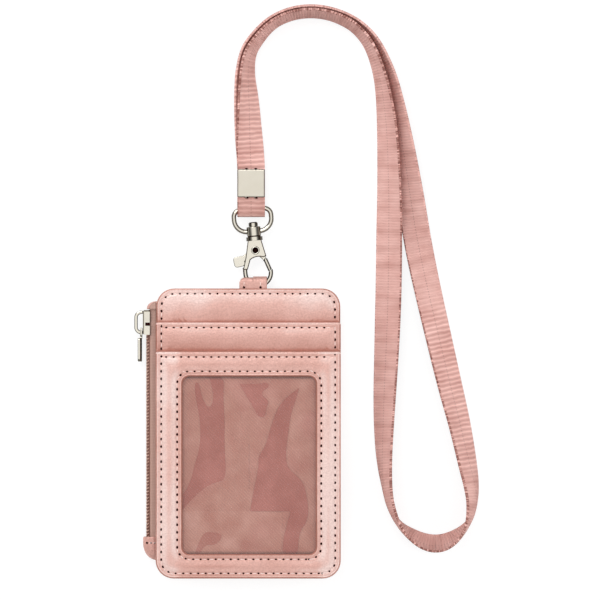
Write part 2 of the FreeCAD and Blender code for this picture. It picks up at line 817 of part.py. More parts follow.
def make_gate_lever():
    """Lever on the rivet: a thumb pad on the left, and a round gate bar that shuts on the hook's nose."""
    boss = Part.makeCylinder(lever_boss_radius, 2 * lever_half_thickness, Vector(0, 0, -lever_half_thickness))
    root = Vector(gate_root_right, -gate_root_below, 0)
    tip = Vector(eye_shift + eye_radius, -eye_below_pivot, 0)
    thumb = Vector(-thumb_left, -thumb_below, 0)
    gate_arm = lever_strip(Vector(0, 0, 0), root, gate_bar_radius)
    thumb_arm = lever_strip(Vector(0, 0, 0), thumb, lever_arm_half_width)
    swing = Part.makeCylinder(gate_reach, 2 * body_half_thickness, Vector(0, 0, -body_half_thickness))
    bar = wire_run(root, tip, gate_bar_radius).common(swing)
    pad = slab(-thumb_length / 2, thumb_length / 2, -thumb_height / 2, thumb_height / 2,
               -lever_half_thickness, lever_half_thickness, thumb_corner, thumb_corner)
    pad.rotate(Vector(0, 0, 0), Vector(0, 0, 1), thumb_tilt)
    pad.translate(thumb)
    bore = Part.makeCylinder(rivet_radius + running_clearance, 2 * overrun, Vector(0, 0, -overrun))
    lever = boss.fuse(gate_arm).fuse(thumb_arm).fuse(bar).fuse(pad)
    return lean(lever.cut(bore))


def make_gate_spring():
    """Leaf spring from the roof of the slot to the thumb side of the lever."""
    half = spring_leaf / 2
    line = [
        Vector(spring_root_right, slot_top - half, 0),
        Vector(spring_root_right - spring_root_length, slot_top - half, 0),
        Vector(-spring_bend_left, spring_bend_above, 0),
        Vector(-spring_tip_left, -spring_tip_below, 0),
    ]
    upper = []
    lower = []
    for i, here in enumerate(line):
        before = line[max(i - 1, 0)]
        after = line[min(i + 1, len(line) - 1)]
        along = (after - before).normalize()
        across = Vector(along.y, -along.x, 0) * half
        if i <= 1:
            across = Vector(0, half, 0)
        upper.append(here + across)
        lower.append(here - across)
    drop = Vector(0, 0, -spring_half_width)
    outline = [p + drop for p in upper + lower[::-1]]
    return lean(polygon_prism(outline, Vector(0, 0, 2 * spring_half_width)))


def make_swivel_ring():
    """D-shaped wire ring whose ends meet in a collar round the hook's shank."""
    throat_y = collar_low + collar_height / 2
    throat_x = ring_half_width - ring_throat_radius
    side_low = throat_y + ring_throat_radius
    side_high = ring_bar_above_pivot - ring_corner_radius
    bar_half = ring_half_width - ring_corner_radius
    wire = wire_run(Vector(-bar_half, ring_bar_above_pivot, 0), Vector(bar_half, ring_bar_above_pivot, 0),
                    ring_wire_radius)
    for side, throat_start, corner_start in ((1, 270, 0), (-1, 180, 90)):
        throat_centre = Vector(side * throat_x, side_low, 0)
        throat = wire_bend(throat_centre, ring_throat_radius, ring_wire_radius, throat_start, 90)
        corner_centre = Vector(side * bar_half, side_high, 0)
        corner = wire_bend(corner_centre, ring_corner_radius, ring_wire_radius, corner_start, 90)
        side_foot = Vector(side * ring_half_width, side_low, 0)
        side_head = Vector(side * ring_half_width, side_high, 0)
        straight = wire_run(side_foot, side_head, ring_wire_radius)
        wire = wire.fuse(throat).fuse(corner).fuse(straight)
    collar = upright_cylinder(collar_radius, collar_low, collar_high)
    bore = upright_cylinder(shank_radius + running_clearance, collar_low - overrun, collar_high + overrun)
    return lean(wire.fuse(collar).cut(bore))


# Lanyard


def prong_places():
    """Where the crimp's four prongs pass the webbing: x, y and the way they fold back."""
    places = []
    for side in (-1, 1):
        x = crimp_x + side * prong_spacing / 2
        places.append((x, crimp_top, -1))
        places.append((x, crimp_bottom, 1))
    return places


def prong_column(x, y, fold, clearance):
    y_out = y - fold * prong_thickness
    ends = sorted([y, y_out])
    half = prong_width / 2 + clearance
    low = back_ply_z - strap_thickness / 2 - prong_thickness
    high = crimp_bottom_z + crimp_plate
    return box(x - half, x + half, ends[0] - clearance, ends[1] + clearance, low, high)


def make_crimp_plate():
    """Metal plate on the front of the webbing, with prongs through it that are folded over behind."""
    half = crimp_width / 2
    front_z = crimp_bottom_z + crimp_plate
    plate = box(crimp_x - half, crimp_x + half, crimp_bottom, crimp_top, crimp_bottom_z, front_z)
    plate = bevel_edges_at(plate, front_z, crimp_bevel)
    high = back_ply_z - strap_thickness / 2
    for x, y, fold in prong_places():
        ends = sorted([y - fold * prong_thickness, y + fold * prong_fold])
        clench = box(x - prong_width / 2, x + prong_width / 2, ends[0], ends[1], high - prong_thickness, high)
        plate = plate.fuse(prong_column(x, y, fold, 0)).fuse(clench)
    return plate


def route_direction(index):
    """Direction of the strap at a point of its route, from the points on both sides of it."""
    before = strap_route[max(index - 1, 0)]
    after = strap_route[min(index + 1, len(strap_route) - 1)]
    return Vector(after[0] - before[0], after[1] - before[1], 0).normalize()


def strap_section(centre, across, through):
    """Rectangle of webbing round a point, given its width and thickness directions."""
    half_width = across * (strap_width / 2)
    half_thickness = through * (strap_thickness / 2)
    corners = [
        centre + half_width + half_thickness,
        centre - half_width + half_thickness,
        centre - half_width - half_thickness,
        centre + half_width - half_thickness,
    ]
    return Part.makePolygon(corners + corners[:1])


def route_section(values, along):
    """Section of the strap on the surface, tilted by its roll about its direction."""
    x, y, roll, lift = values
    tilt = math.radians(roll)
    side = Vector(-along.y, along.x, 0)
    across = side * math.cos(tilt) + Vector(0, 0, math.sin(tilt))
    through = along.cross(across)
    rise = strap_width / 2 * abs(math.sin(tilt)) + strap_thickness / 2 * abs(math.cos(tilt))
    return Vector(x, y, lift + rise), across, through


def fold_sections():
    """The strap's tail in the crimp, its fold round the ring's bar, and its way back to the crimp."""
    left = Vector(-1, 0, 0)
    loop_half = ring_wire_radius + strap_bar_clearance + strap_thickness / 2
    bar_y = pivot_y + ring_bar_above_pivot * math.cos(math.radians(hook_lean))
    fold_y = bar_y - strap_loop_reach + loop_half + strap_thickness / 2
    bar_top = bar_y + ring_wire_radius + strap_bar_clearance
    sections = []
    tail_end = (crimp_top - strap_tail_inset, back_ply_z)
    tail = [tail_end, (crimp_bottom, back_ply_z), (bar_top, middle_z - loop_half)]
    for y, z in tail:
        sections.append((Vector(crimp_x, y, z), left, Vector(0, 0, -1)))
    for i in range(strap_fold_steps + 1):
        turn = math.pi * i / strap_fold_steps
        out = Vector(0, -math.sin(turn), -math.cos(turn))
        sections.append((Vector(crimp_x, fold_y, middle_z) + out * loop_half, left, out))
    front = [(bar_top, middle_z + loop_half), (crimp_bottom, front_ply_z), (crimp_top, front_ply_z)]
    for y, z in front:
        sections.append((Vector(crimp_x, y, z), left, Vector(0, 0, 1)))
    return sections


def make_lanyard_strap():
    """One ruled loft through every section: tail, fold, front ply, the long loop, and back into the crimp."""
    sections = fold_sections()
    for i in range(len(strap_route)):
        sections.append(route_section(strap_route[i], route_direction(i)))
    right = Vector(1, 0, 0)
    up = Vector(0, 0, 1)
    sections.append((Vector(crimp_x, crimp_top, middle_z), right, up))
    sections.append((Vector(crimp_x, crimp_bottom + strap_tail_inset, middle_z), right, up))
    centres = [centre for centre, across, through in sections]
    length = sum((b - a).Length for a, b in zip(centres, centres[1:]))
    wires = [strap_section(centre, across, through) for centre, across, through in sections]
    strap = Part.makeLoft(wires, True, True)
    plain_volume = length * strap_width * strap_thickness
    print("strap length", round(length, 1), "volume share", round(strap.Volume / plain_volume, 3))
    for x, y, fold in prong_places():
        strap = strap.cut(prong_column(x, y, fold, prong_clearance))
    return strap


os.makedirs("parts", exist_ok=True)
export("back_panel", make_back_panel())
export("pocket_divider", make_pocket_divider())
export("base_panel", make_base_panel())
export("slot_strip", make_slot_strip())
export("slot_lining", make_slot_lining())
export("window_panel", make_window_panel())
export("window_film", make_window_film())
export("hanger_loop", make_hanger_loop())
export("zip_tape_front", make_zip_tape(1))
export("zip_tape_back", make_zip_tape(-1))
export("zip_teeth_front", make_zip_row(1))
export("zip_teeth_back", make_zip_row(-1))
export("zip_end_upper", make_zip_end_upper())
export("zip_end_lower", make_zip_end_lower())
export("slider_body", make_slider_body())
export("slider_bail", make_slider_bail())
export("zip_pull", make_zip_pull())
export("hook_body", make_hook_body())
export("gate_rivet", make_gate_rivet())
export("gate_lever", make_gate_lever())
export("gate_spring", make_gate_spring())
export("swivel_ring", make_swivel_ring())
export("crimp_plate", make_crimp_plate())
export("lanyard_strap", make_lanyard_strap())
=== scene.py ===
import bpy
import math
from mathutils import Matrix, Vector, noise
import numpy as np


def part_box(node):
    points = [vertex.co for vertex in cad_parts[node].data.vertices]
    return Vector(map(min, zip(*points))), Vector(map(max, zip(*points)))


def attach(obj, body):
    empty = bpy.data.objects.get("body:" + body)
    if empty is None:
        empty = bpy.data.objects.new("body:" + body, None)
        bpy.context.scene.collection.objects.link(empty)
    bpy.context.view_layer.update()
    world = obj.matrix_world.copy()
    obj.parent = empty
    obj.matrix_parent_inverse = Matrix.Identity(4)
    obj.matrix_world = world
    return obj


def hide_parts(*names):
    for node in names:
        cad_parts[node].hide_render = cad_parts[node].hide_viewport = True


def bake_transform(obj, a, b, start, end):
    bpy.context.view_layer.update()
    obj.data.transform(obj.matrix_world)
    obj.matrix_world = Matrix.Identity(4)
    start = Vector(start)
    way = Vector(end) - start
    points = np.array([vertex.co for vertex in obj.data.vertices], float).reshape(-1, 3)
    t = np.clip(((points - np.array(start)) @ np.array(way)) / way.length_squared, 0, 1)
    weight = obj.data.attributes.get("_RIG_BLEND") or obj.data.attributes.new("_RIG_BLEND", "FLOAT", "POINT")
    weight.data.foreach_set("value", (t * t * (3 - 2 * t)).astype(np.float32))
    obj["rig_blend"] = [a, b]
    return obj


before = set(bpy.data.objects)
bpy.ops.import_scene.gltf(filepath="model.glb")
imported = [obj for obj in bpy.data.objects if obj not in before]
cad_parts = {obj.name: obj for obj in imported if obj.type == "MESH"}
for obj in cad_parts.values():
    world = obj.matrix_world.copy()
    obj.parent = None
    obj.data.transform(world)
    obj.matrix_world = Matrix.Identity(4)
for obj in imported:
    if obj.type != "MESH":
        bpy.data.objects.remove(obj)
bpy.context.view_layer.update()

# Looks of an id badge wallet with a lanyard. All sizes are in metres, in the frame of the solids.

# Camera, floor, sky, and lamps as (name, place, size, power, whether metal mirrors it)
picture_width = 0.24
picture_centre = (0.02064, 0.0532)
camera_height = 2.5
camera_sensor = 36.0
lamps = (
    ("key_lamp", (-0.3, 0.75, 0.8), 0.7, 4.9, True),
    ("fill_lamp", (0.6, 0.1, 0.7), 0.5, 0.8, False),
    ("left_lamp", (-0.75, 0.1, 0.33), 0.45, 2.6, False),
    ("right_lamp", (0.8, 0, 0.33), 0.45, 2.6, False),
    ("near_lamp", (0.05, -0.75, 0.3), 0.45, 1.3, False),
)
floor_size = 40.0
floor_gap = 0.0001
floor_colour = (0.25, 0.25, 0.25)
floor_glow = 0.82
sky_stops = (
    (0, (0.85, 0.85, 0.85)), (0.07, (0.8, 0.8, 0.8)), (0.12, (0.18, 0.18, 0.18)), (0.5, (0.12, 0.12, 0.12)),
    (0.76, (0.32, 0.32, 0.32)), (0.9, (0.86, 0.86, 0.86)), (1, (0.9, 0.9, 0.9)),
)

# Finishes: stops and shades are (place, colour), noises (scale, detail), weaves and ribs (pitch, wander)
ramp_middle_share = 0.5
unit_span = (0, 1)
wave_texture_share = 10
wander_scale = 1.5
streak_noise = (1, 2)
leather_stops = (
    (0, (0.5, 0.215, 0.165)), (0.34, (0.7, 0.385, 0.325)),
    (0.66, (0.82, 0.495, 0.43)), (1, (0.93, 0.7, 0.645)),
)
leather_mottle = (45, 5)
leather_speckle = (1500, 2)
leather_speckle_shades = ((0.3, (0.9, 0.88, 0.88)), (0.7, (1.06, 1.06, 1.06)))
leather_cell_scale = 1500
leather_cell_depth = 0.00012
leather_grain = (420, 6)
leather_grain_depth = 0.00016
leather_gloss = (160, 4)
leather_roughness = (0.36, 0.52)
leather_metallic = 0.35
leather_specular = 0.35
twill_stops = ((0.2, (0.51, 0.245, 0.19)), (0.45, (0.468, 0.207, 0.156)), (1, (0.385, 0.118, 0.09)))
twill_clouds = (75, 2)
twill_mottle = (95, 3)
twill_mottle_shades = ((0.33, (0.9, 0.8, 0.77)), (0.5, (0.97, 0.95, 0.94)), (0.68, (1.1, 1.18, 1.22)))
twill_weave = (0.0007, 0.6)
twill_weave_depth = 0.00002
twill_thread_shades = ((0.2, (0.93, 0.93, 0.93)), (0.8, (1.03, 1.03, 1.03)))
# Painted shade on the lining beside the window's frame: its reach, and how dark it gets beside the sides and
# the top and bottom
frame_shade_reach = 0.0013
frame_painted_shade = (0.82, 0.36)
cloth_roughness = 0.8
film_colour = (0.9, 0.88, 0.87)
film_haze = (60, 3)
film_roughness = (0.04, 0.14)
film_alpha = 0.04
film_refraction = 1.45
webbing_stops = ((0.3, (0.72, 0.405, 0.358)), (0.7, (0.84, 0.52, 0.468)))
# The webbing's colours darkened with painted shade, for its fold round the ring's bar and under the crimp
fold_painted_shade_stops = ((0.3, (0.56, 0.3, 0.26)), (0.7, (0.68, 0.4, 0.35)))
webbing_mottle = (130, 4)
webbing_fine_ribs = (0.0011, 0.6)
# Painted shade in the furrows of the fine and coarse ribs, with painted highlight on the coarse ribs' crests
webbing_fine_rib_painted_shade = ((0.05, (0.94, 0.91, 0.91)), (0.7, (1, 1, 1)))
webbing_coarse_wander = 1.4
webbing_coarse_rib_painted_light = (
    (0, (0.8, 0.74, 0.73)), (0.25, (0.93, 0.9, 0.9)), (0.7, (0.96, 0.95, 0.95)), (0.95, (1.16, 1.2, 1.2)),
)
# Streaks across the strap: partly an uneven weave, partly painted shade of small folds
webbing_streaks = (300, 40, 1)
webbing_streak_tone_and_fold_shade = ((0.34, (0.87, 0.82, 0.81)), (0.5, (0.99, 0.98, 0.98)), (0.68, (1.06, 1.06, 1.06)))
webbing_rib_depth = 0.00014
webbing_specular = 0.2
centre_row_half = 0.00016
centre_row_stitches = (0.0011, 0)
centre_row_shades = ((0.45, (0.72, 0.68, 0.68)), (0.6, (1, 1, 1)))
# Dashed threads at the strap's edges; the inner edge's row is also darkened with painted shade where it
# stands raised
edge_row_inset = 0.00045
edge_row_streaks = (2400, 300, 1)
inner_row_dashes_and_painted_shade = ((0.4, (0.38, 0.28, 0.26)), (0.52, (0.62, 0.53, 0.51)), (0.62, (1.15, 1.15, 1.15)))
outer_row_shades = ((0.3, (0.55, 0.46, 0.45)), (0.42, (0.95, 0.93, 0.93)), (0.6, (1.15, 1.15, 1.15)))
tape_stops = ((0.1, (0.46, 0.28, 0.23)), (0.9, (0.535, 0.335, 0.28)))
# Painted shade on the tape beside the teeth and under the panel's edge, across tape_seen_x
tape_painted_side_shade = ((0, (0.5, 0.42, 0.4)), (0.16, (1, 1, 1)), (0.78, (1, 1, 1)), (1, (0.5, 0.42, 0.4)))
tape_seen_x = (-0.0396, -0.0366)
tape_weave = (0.0006, 0.8)
tape_weave_depth = 0.00005
tape_roughness = 0.75
plain_noise = (700, 3)
plain_depth = 0.00005
plain_specular = 0.5
coil_stops = ((0.3, (0.52, 0.28, 0.22)), (0.7, (0.88, 0.61, 0.49)))
coil_roughness = 0.35
thread_stops = ((0.3, (0.88, 0.64, 0.58)), (0.7, (0.95, 0.8, 0.76)))
thread_roughness = 0.6
# Painted shade: near black for needle holes, the inside of the slider, the rivet's hole, the swivel's gap and
# the prongs' gaps
hole_painted_shade_stops = ((0.3, (0.025, 0.006, 0.006)), (0.7, (0.045, 0.013, 0.012)))
hole_roughness = 0.9
nickel_stops = ((0.3, (0.88, 0.825, 0.71)), (0.7, (0.93, 0.88, 0.765)))
nickel_roughness = (0.07, 0.17)
crimp_stops = ((0.3, (0.79, 0.735, 0.62)), (0.7, (0.85, 0.795, 0.69)))
crimp_roughness = (0.3, 0.45)
metal_clouds = (90, 4)
metal_marks = (500, 3)
metal_dents = (260, 1)
metal_dent_depth = 0.000008
# Painted shade and painted dark reflection on metal flanks, by how far a face turns from up; stronger on the
# hook
metal_flank_painted_shade = ((0.15, (0.13, 0.12, 0.11)), (0.74, (0.28, 0.27, 0.25)), (0.93, (1, 1, 1)))
hook_flank_painted_shade = ((0.15, (0.1, 0.09, 0.08)), (0.82, (0.1, 0.092, 0.08)), (0.975, (1, 1, 1)))

# Leather sheets
outline_corner_points = 9
outline_side_points = 96
sharp_corner = 0.0005
stitch_inset = 0.0021
leather_wave = 0.00015
leather_wave_length = 0.019
leather_ripple = 0.000035
leather_ripple_length = 0.005
leather_puff = 0.00018
rim_drop = 0.00012
edge_roll = 0.0007
groove_depth = 0.00016
groove_half_width = 0.00045
crease_inset = 0.001
crease_depth = 0.00007
crease_half_width = 0.0002
slot_dip = 0.0004
slot_dip_reach = 0.0042
# Painted highlight on the leather beside its stitches, where it bulges
stitch_painted_highlight = 0.22
stitch_painted_highlight_inset = 0.0034
stitch_painted_highlight_reach = 0.0012
tone_wave_length = 0.016
# Painted shade where a layer sinks into the mouth of a slot, and a painted dark line of shade right at the
# mouth
slot_painted_shade = 0.34
mouth_painted_shade = 0.7
mouth_painted_shade_reach = 0.0007
# Painted highlight along a sheet's rolled edge
roll_painted_highlight = 0.3
roll_painted_highlight_inset = 0.0009
edge_paint = 0.55
edge_paint_inset = 0.0005
# Painted light: the window frame paler towards its sides
frame_side_painted_light = 0.4
frame_side_painted_light_reach = 0.003
sheet_tones = {"leather_front": 0.22, "leather_band": 0.01, "leather_window": -0.15}
sheet_tuck = 0.0003
layer_sink = 0.0005
sheet_rings = (0.00085, 0.001, 0.00115, 0.0015, 0.0018, 0.0021, 0.0024, 0.0027, 0.0033, 0.0042)
roll_shares = (0, 0.12, 0.35, 0.65, 1)
middle_ring_shares = (0.25, 0.5, 0.75)
ring_step = 0.002
panel_corner = 0.0072
strip_corner = 0.0009
window_corner = 0.0028
film_margin = 0.004
front_seed = 1.3
band_seed = 4.1
window_seed = 7.7
back_seed = 11.9
lining_seed = 2.6
film_seed = 5.2
ripple_seed_step = 3

# Stitches and needle holes, whose section is (share of the height, share of the width)
stitch_pitch = 0.003
stitch_edge_room = 0.001
thread_radius = 0.00018
thread_length = 0.0019
thread_rise = 0.00002
thread_sides = 8
thread_rings = 6
hole_length = 0.001
hole_width = 0.00085
hole_height = 0.0003
hole_sides = 12
hole_section_shares = ((0, 1), (0.85, 0.85), (1, 0.4))
upright_hole_share = 1.25

# Back panel
back_edge_radius = 0.0024
back_wall = 0.0012
back_bulge = 0.0002
back_rings = (0.0036, 0.006, 0.011, 0.019, 0.03)
back_round_steps = 6
rim_lip = 0.0002
loop_room = 0.0012
back_stitch_inset = 0.0042
back_stitch_height = 0.0002

# Lining, film and divider
soft_margin = 0.009
lining_wave = 0.00008
lining_wave_length = 0.012
film_wave = 0.00016
film_wave_length = 0.024

# Places where the film clings to the lining, as (how much darker, points of its outline)
cling_height = 0.0001
cling_step = 0.00002
cling_thickness = 0.00003
cling_patches = (
    (-0.1, (
        (-0.0272, -0.0316), (-0.0262, -0.0309), (0.0004, -0.0309), (0.0012, -0.0312), (0.0128, -0.0312),
        (0.0138, -0.0312), (0.0132, -0.049), (0.01, -0.049), (-0.0262, -0.049), (-0.0272, -0.049),
    )),
    (0.58, (
        (-0.0159, 0.0236), (-0.0094, 0.0236), (-0.01, 0.0148), (-0.0094, 0.0052), (-0.0095, -0.0052),
        (-0.0086, -0.0184), (-0.0134, -0.0196), (-0.0182, -0.022), (-0.023, -0.0268), (-0.0272, -0.0318),
        (-0.0272, -0.026), (-0.023, -0.0196), (-0.0214, -0.0124), (-0.0191, -0.0052), (-0.0191, 0.0052),
        (-0.0206, 0.0124), (-0.0216, 0.02), (-0.0196, 0.0205), (-0.0186, 0.0148), (-0.0162, 0.0102),
        (-0.0142, 0.0115), (-0.0138, 0.0164),
    )),
    (0.8, (
        (-0.0034, 0.0197), (0.0042, 0.0196), (0.007, 0.0206), (0.0088, 0.0188), (0.0046, 0.016),
        (0.0085, 0.0128), (0.0072, 0.0104), (0.0068, 0.0064), (0.004, 0.0066), (0.0018, 0.0108),
        (-0.0014, 0.016),
    )),
    (0.56, (
        (0.0203, 0.0182), (0.019, 0.0132), (0.0169, 0.0076), (0.0158, -0.0012), (0.0149, -0.0076),
        (0.0156, -0.014), (0.021, -0.018), (0.0233, -0.0236), (0.0243, -0.034), (0.0201, -0.0396),
        (0.0198, -0.049), (0.0138, -0.049), (0.0138, -0.0428), (0.0153, -0.0364), (0.017, -0.0313),
        (0.016, -0.0309), (0.0012, -0.0309), (0.0008, -0.0308), (0.0018, -0.0244), (0.0041, -0.014),
        (0.0039, -0.0092), (0.007, -0.0048), (0.009, 0.0028), (0.0114, 0.0096), (0.015, 0.0144),
    )),
    (0.4, (
        (-0.0216, -0.049), (-0.0188, -0.0396), (-0.0142, -0.0392), (-0.0098, -0.0404), (-0.0126, -0.0446),
        (-0.0174, -0.0442), (-0.0196, -0.049),
    )),
)

# Hanger loop
loop_leather = 0.0008
loop_corner = 0.0022
loop_columns = 22
loop_fold_steps = 14
loop_straight_steps = 16
loop_flap_steps = 5
loop_flap_turn = 54
loop_hold = 0.0576
loop_free = 0.0618
loop_stitch_columns = (-0.0017, 0.0049)
loop_stitch_start = 0.0582

# Zip
tape_thickness = 0.00045
tape_bend_radius = 0.0015
tape_bend_steps = 8
tape_rows = 120
tape_wave = 0.00006
tape_wave_length = 0.009
tape_end_rim = 0.001
tape_end_lift = 0.0001
tape_end_columns = 6
tape_end_rows = 10
slider_gap_x = (-0.0411, -0.0394)
slider_gap_y = (0.0429, 0.0442)
slider_gap_drop = 0.0006
slider_gap_thickness = 0.00015
coil_wire_radius = 0.00021
coil_pitch = 0.0013
coil_points_per_turn = 10
coil_sides = 6
coil_tilt = (0, 0.3, 1)
coil_core_radius = 0.0003
coil_web_reach = 0.0005
coil_web_half = 0.00018
end_leather = 0.0008
end_least_share = 0.25
end_round_steps = 5
end_round_share = 0.8
end_curve_steps = 10
end_curve_turn = 84
end_tuck = 0.0008
end_swell = 0.0012
end_lip = 0.0003
end_lip_share = 0.15
lower_end_straight = 0.0026
upper_end_straight = 0.0004
lower_end_stitch_y = -0.0437
end_stitch_out = 0.0037
end_stitch_pitch = 0.0016

# Metal pieces
weld_distance = 0.000005
worn_edge = 0.00028
worn_edge_steps = 3
worn_edge_angle = 36
hook_edge = 0.00045
bail_edge = 0.00045
bail_swell = 0.00026
flat_facet_angle = 3
round_sides = 24
rivet_core_radius = 0.00104
rivet_core_half = 0.0008
# Painted shade: a dark ring that fills the gap between the hook's shoulder and the swivel's collar
swivel_gap_shade_radius = 0.0026
swivel_gap_shade_ends = ((0.002369, 0.078421, 0.0034), (0.002344, 0.078714, 0.0034))
# Places of painted shade in the gaps beside the crimp's prongs
prong_gap_places = ((-0.00076, 0.1055), (0.00296, 0.1055), (-0.0004, 0.09405), (0.00324, 0.09405))

# Webbing
strap_width = 0.011
strap_thickness = 0.0009
spline_order = 3
spline_steps = 16
strap_rib_pitch = 0.0019
strap_rib_share = 0.16
strap_rib_wander = 0.35
strap_rib_wander_length = 0.011
strap_edge_share = 0.86
coarse_crimp_y = 0.114
coarse_crimp_reach = 0.026
coarse_ribbon_y = 0.017
coarse_ribbon_reach = 0.028
coarse_fade = 0.012
coarse_split_x = 0.03
cup_depth = 0.0016
cup_start_y = 0.004
cup_full_y = -0.03
crimp_x = 0.00112
webbing_ripple = 0.00012
webbing_ripple_length = 0.017
webbing_ripple_seed = 5

# Half of the webbing's section as (share of half width, share of half thickness), from one edge to the other
webbing_section_shares = (
    (-1, 0.8), (-0.985, 0.95), (-0.95, 1.1), (-0.89, 1.1), (-0.85, 0.92), (-0.6, 0.96), (-0.3, 1), (0, 0.96),
    (0.3, 1), (0.6, 0.96), (0.85, 0.92), (0.89, 1.1), (0.95, 1.1), (0.985, 0.95), (1, 0.8),
)

# The strap's way over the surface as (x, y, roll in degrees, lift of its lower edge)
strap_route = [
    (0.00112, 0.1045, 0, 0.0039), (0.00108, 0.1072, 0, 0.00375), (0.0007, 0.1125, 8, 0.0029),
    (0.0004, 0.1198, 27, 0.0021), (0.0002, 0.1272, 37, 0.00165), (-0.0001, 0.1345, 46, 0.0015),
    (-0.0004, 0.1404, 56, 0.0012), (-0.0004, 0.1444, 61, 0.00095), (0.0002, 0.1502, 66, 0.00075),
    (0.0022, 0.1549, 69, 0.00065), (0.009, 0.1631, 74, 0.0005), (0.0166, 0.1668, 74, 0.00042),
    (0.0244, 0.168, 74, 0.0004), (0.032, 0.1671, 74, 0.0004), (0.0387, 0.1645, 73, 0.0004),
    (0.0438, 0.161, 73, 0.0004), (0.0488, 0.1544, 72, 0.0003), (0.0523, 0.1445, 67, 0.0002),
    (0.0541, 0.1354, 60, 0.0001), (0.0556, 0.1216, 46, 0), (0.0561, 0.1079, 39, 0), (0.0564, 0.0941, 32, 0),
    (0.0563, 0.0803, 25, 0), (0.0562, 0.0682, 24, 0), (0.056, 0.0552, 24, 0), (0.0556, 0.0422, 27, 0),
    (0.0551, 0.0292, 33, 0), (0.0545, 0.0162, 39, 0), (0.0541, 0.0028, 48, 0), (0.0542, -0.011, 60, 0),
    (0.0558, -0.0242, 76, 0), (0.0582, -0.0315, 84, 0), (0.0609, -0.0362, 93, 0), (0.0644, -0.0398, 108, 0),
    (0.0692, -0.0429, 120, 0), (0.074, -0.0442, 126, 0), (0.0784, -0.0436, 123, 0), (0.0826, -0.0412, 112, 0),
    (0.086, -0.0374, 95, 0), (0.0883, -0.0328, 78, 0), (0.0893, -0.027, 68, 0), (0.089, -0.0209, 59, 0),
    (0.0878, -0.0136, 50, 0), (0.0846, 0.0028, 40, 0), (0.0812, 0.0162, 31, 0), (0.0781, 0.0292, 26, 0),
    (0.0751, 0.0422, 21, 0), (0.0721, 0.0552, 17, 0), (0.0693, 0.0682, 9, 0), (0.067, 0.0803, -4, 0),
    (0.065, 0.0941, -22, 0), (0.063, 0.1079, -36, 0), (0.0608, 0.1216, -47, 0), (0.0582, 0.1354, -58, 0),
    (0.056, 0.1445, -65, 0), (0.0512, 0.1558, -72, 0), (0.0454, 0.1622, -73, 0), (0.0393, 0.1659, -73, 0),
    (0.0322, 0.1685, -74, 0), (0.0244, 0.1694, -74, 0), (0.0161, 0.1681, -74, 0), (0.008, 0.1642, -74, 0),
    (0.0007, 0.1557, -69, 0), (-0.0013, 0.1506, -66, 0), (-0.0021, 0.1444, -61, 0), (-0.0021, 0.1404, -56, 0),
    (-0.0016, 0.1345, -46, 0), (-0.001, 0.1272, -37, 0.0001), (-0.0003, 0.1198, -27, 0.0007),
    (0.0007, 0.1125, -8, 0.0019), (0.00108, 0.1072, 0, 0.0028), (0.00112, 0.1040, 0, 0.00295),
    (0.00112, 0.0990, 0, 0.00295),
]

# The strap's tail, its fold round the ring's bar and its way to the front of the crimp, as (y, z)
strap_fold_route = [
    (0.1038, 0.00245), (0.096, 0.00245), (0.093, 0.0022), (0.0908, 0.0016), (0.089, 0.0015), (0.0868, 0.0016),
    (0.0868, 0.0052), (0.089, 0.0053), (0.0908, 0.0052), (0.093, 0.0046), (0.096, 0.00435), (0.1043, 0.00435),
]


# Mesh helpers


def new_object(name, data):
    """An object put into the scene."""
    made = bpy.data.objects.new(name, data)
    bpy.context.scene.collection.objects.link(made)
    return made


def new_mesh(name, vertices, faces, material):
    """A smooth mesh with one material."""
    mesh = bpy.data.meshes.new(name)
    mesh.from_pydata([tuple(v) for v in vertices], [], faces)
    mesh.update()
    for polygon in mesh.polygons:
        polygon.use_smooth = True
    mesh.materials.append(material)
    return mesh


def mesh_piece(name, vertices, faces, material, body, slot, node=""):
    """A piece that rides on a body, has its material and can stand in for a solid; its slot is not used."""
    piece = new_object(name, new_mesh(name, vertices, faces, material))
    if body:
        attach(piece, body)
    if node:
        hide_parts(node)
    return piece


def write_values(piece, name, values):
    """One number for each point of a piece, for its material to read."""
    layer = piece.data.attributes.new(name, "FLOAT", "POINT")
    for item, value in zip(layer.data, values):
        item.value = value


def loft(rings, closed=False, capped=True):
    """Vertices and faces through rings of points, which close on themselves or have a cap at each end."""
    count = len(rings[0])
    vertices = [point for ring in rings for point in ring]
    faces = []
    for i in range(len(rings) if closed else len(rings) - 1):
        here = i * count
        there = (i + 1) % len(rings) * count
        for k in range(count):
            n = (k + 1) % count
            faces.append((here + k, here + n, there + n, there + k))
    if capped and not closed:
        faces.append(tuple(reversed(range(count))))
        faces.append(tuple(range(len(vertices) - count, len(vertices))))
    return vertices, faces


def oval(centre, wide, tall, sides):
    """Points round an oval with these two half axes."""
    turns = [2 * math.pi * k / sides for k in range(sides)]
    return [centre + wide * math.cos(turn) + tall * math.sin(turn) for turn in turns]


def neighbours(items, i):
    """The items before and after one, or the item itself at an end."""
    return items[max(i - 1, 0)], items[min(i + 1, len(items) - 1)]


def tube(points, radius, sides, tilt):
    """Vertices and faces of a round tube along points, its rings turned towards a tilt."""
    rings = []
    for i, point in enumerate(points):
        before, after = neighbours(points, i)
        along = (after - before).normalized()
        across = along.cross(Vector(tilt)).normalized()
        rings.append(oval(point, across * radius, across.cross(along) * radius, sides))
    return loft(rings)


def grid_quads(rows, columns, first_row=0, first_column=0, across=0):
    """Quads over a grid of points kept row by row, as many to a row as across says."""
    across = across or columns + 1
    quads = []
    for j in range(first_row, first_row + rows):
        for i in range(first_column, first_column + columns):
            a = j * across + i
            quads.append((a, a + 1, a + across + 1, a + across))
    return quads


def flipped(quads):
    return [tuple(reversed(quad)) for quad in quads]


def raised(points, z):
    return [Vector((p.x, p.y, z)) for p in points]


def lowered(points, depth):
    return [point - Vector((0, 0, depth)) for point in points]


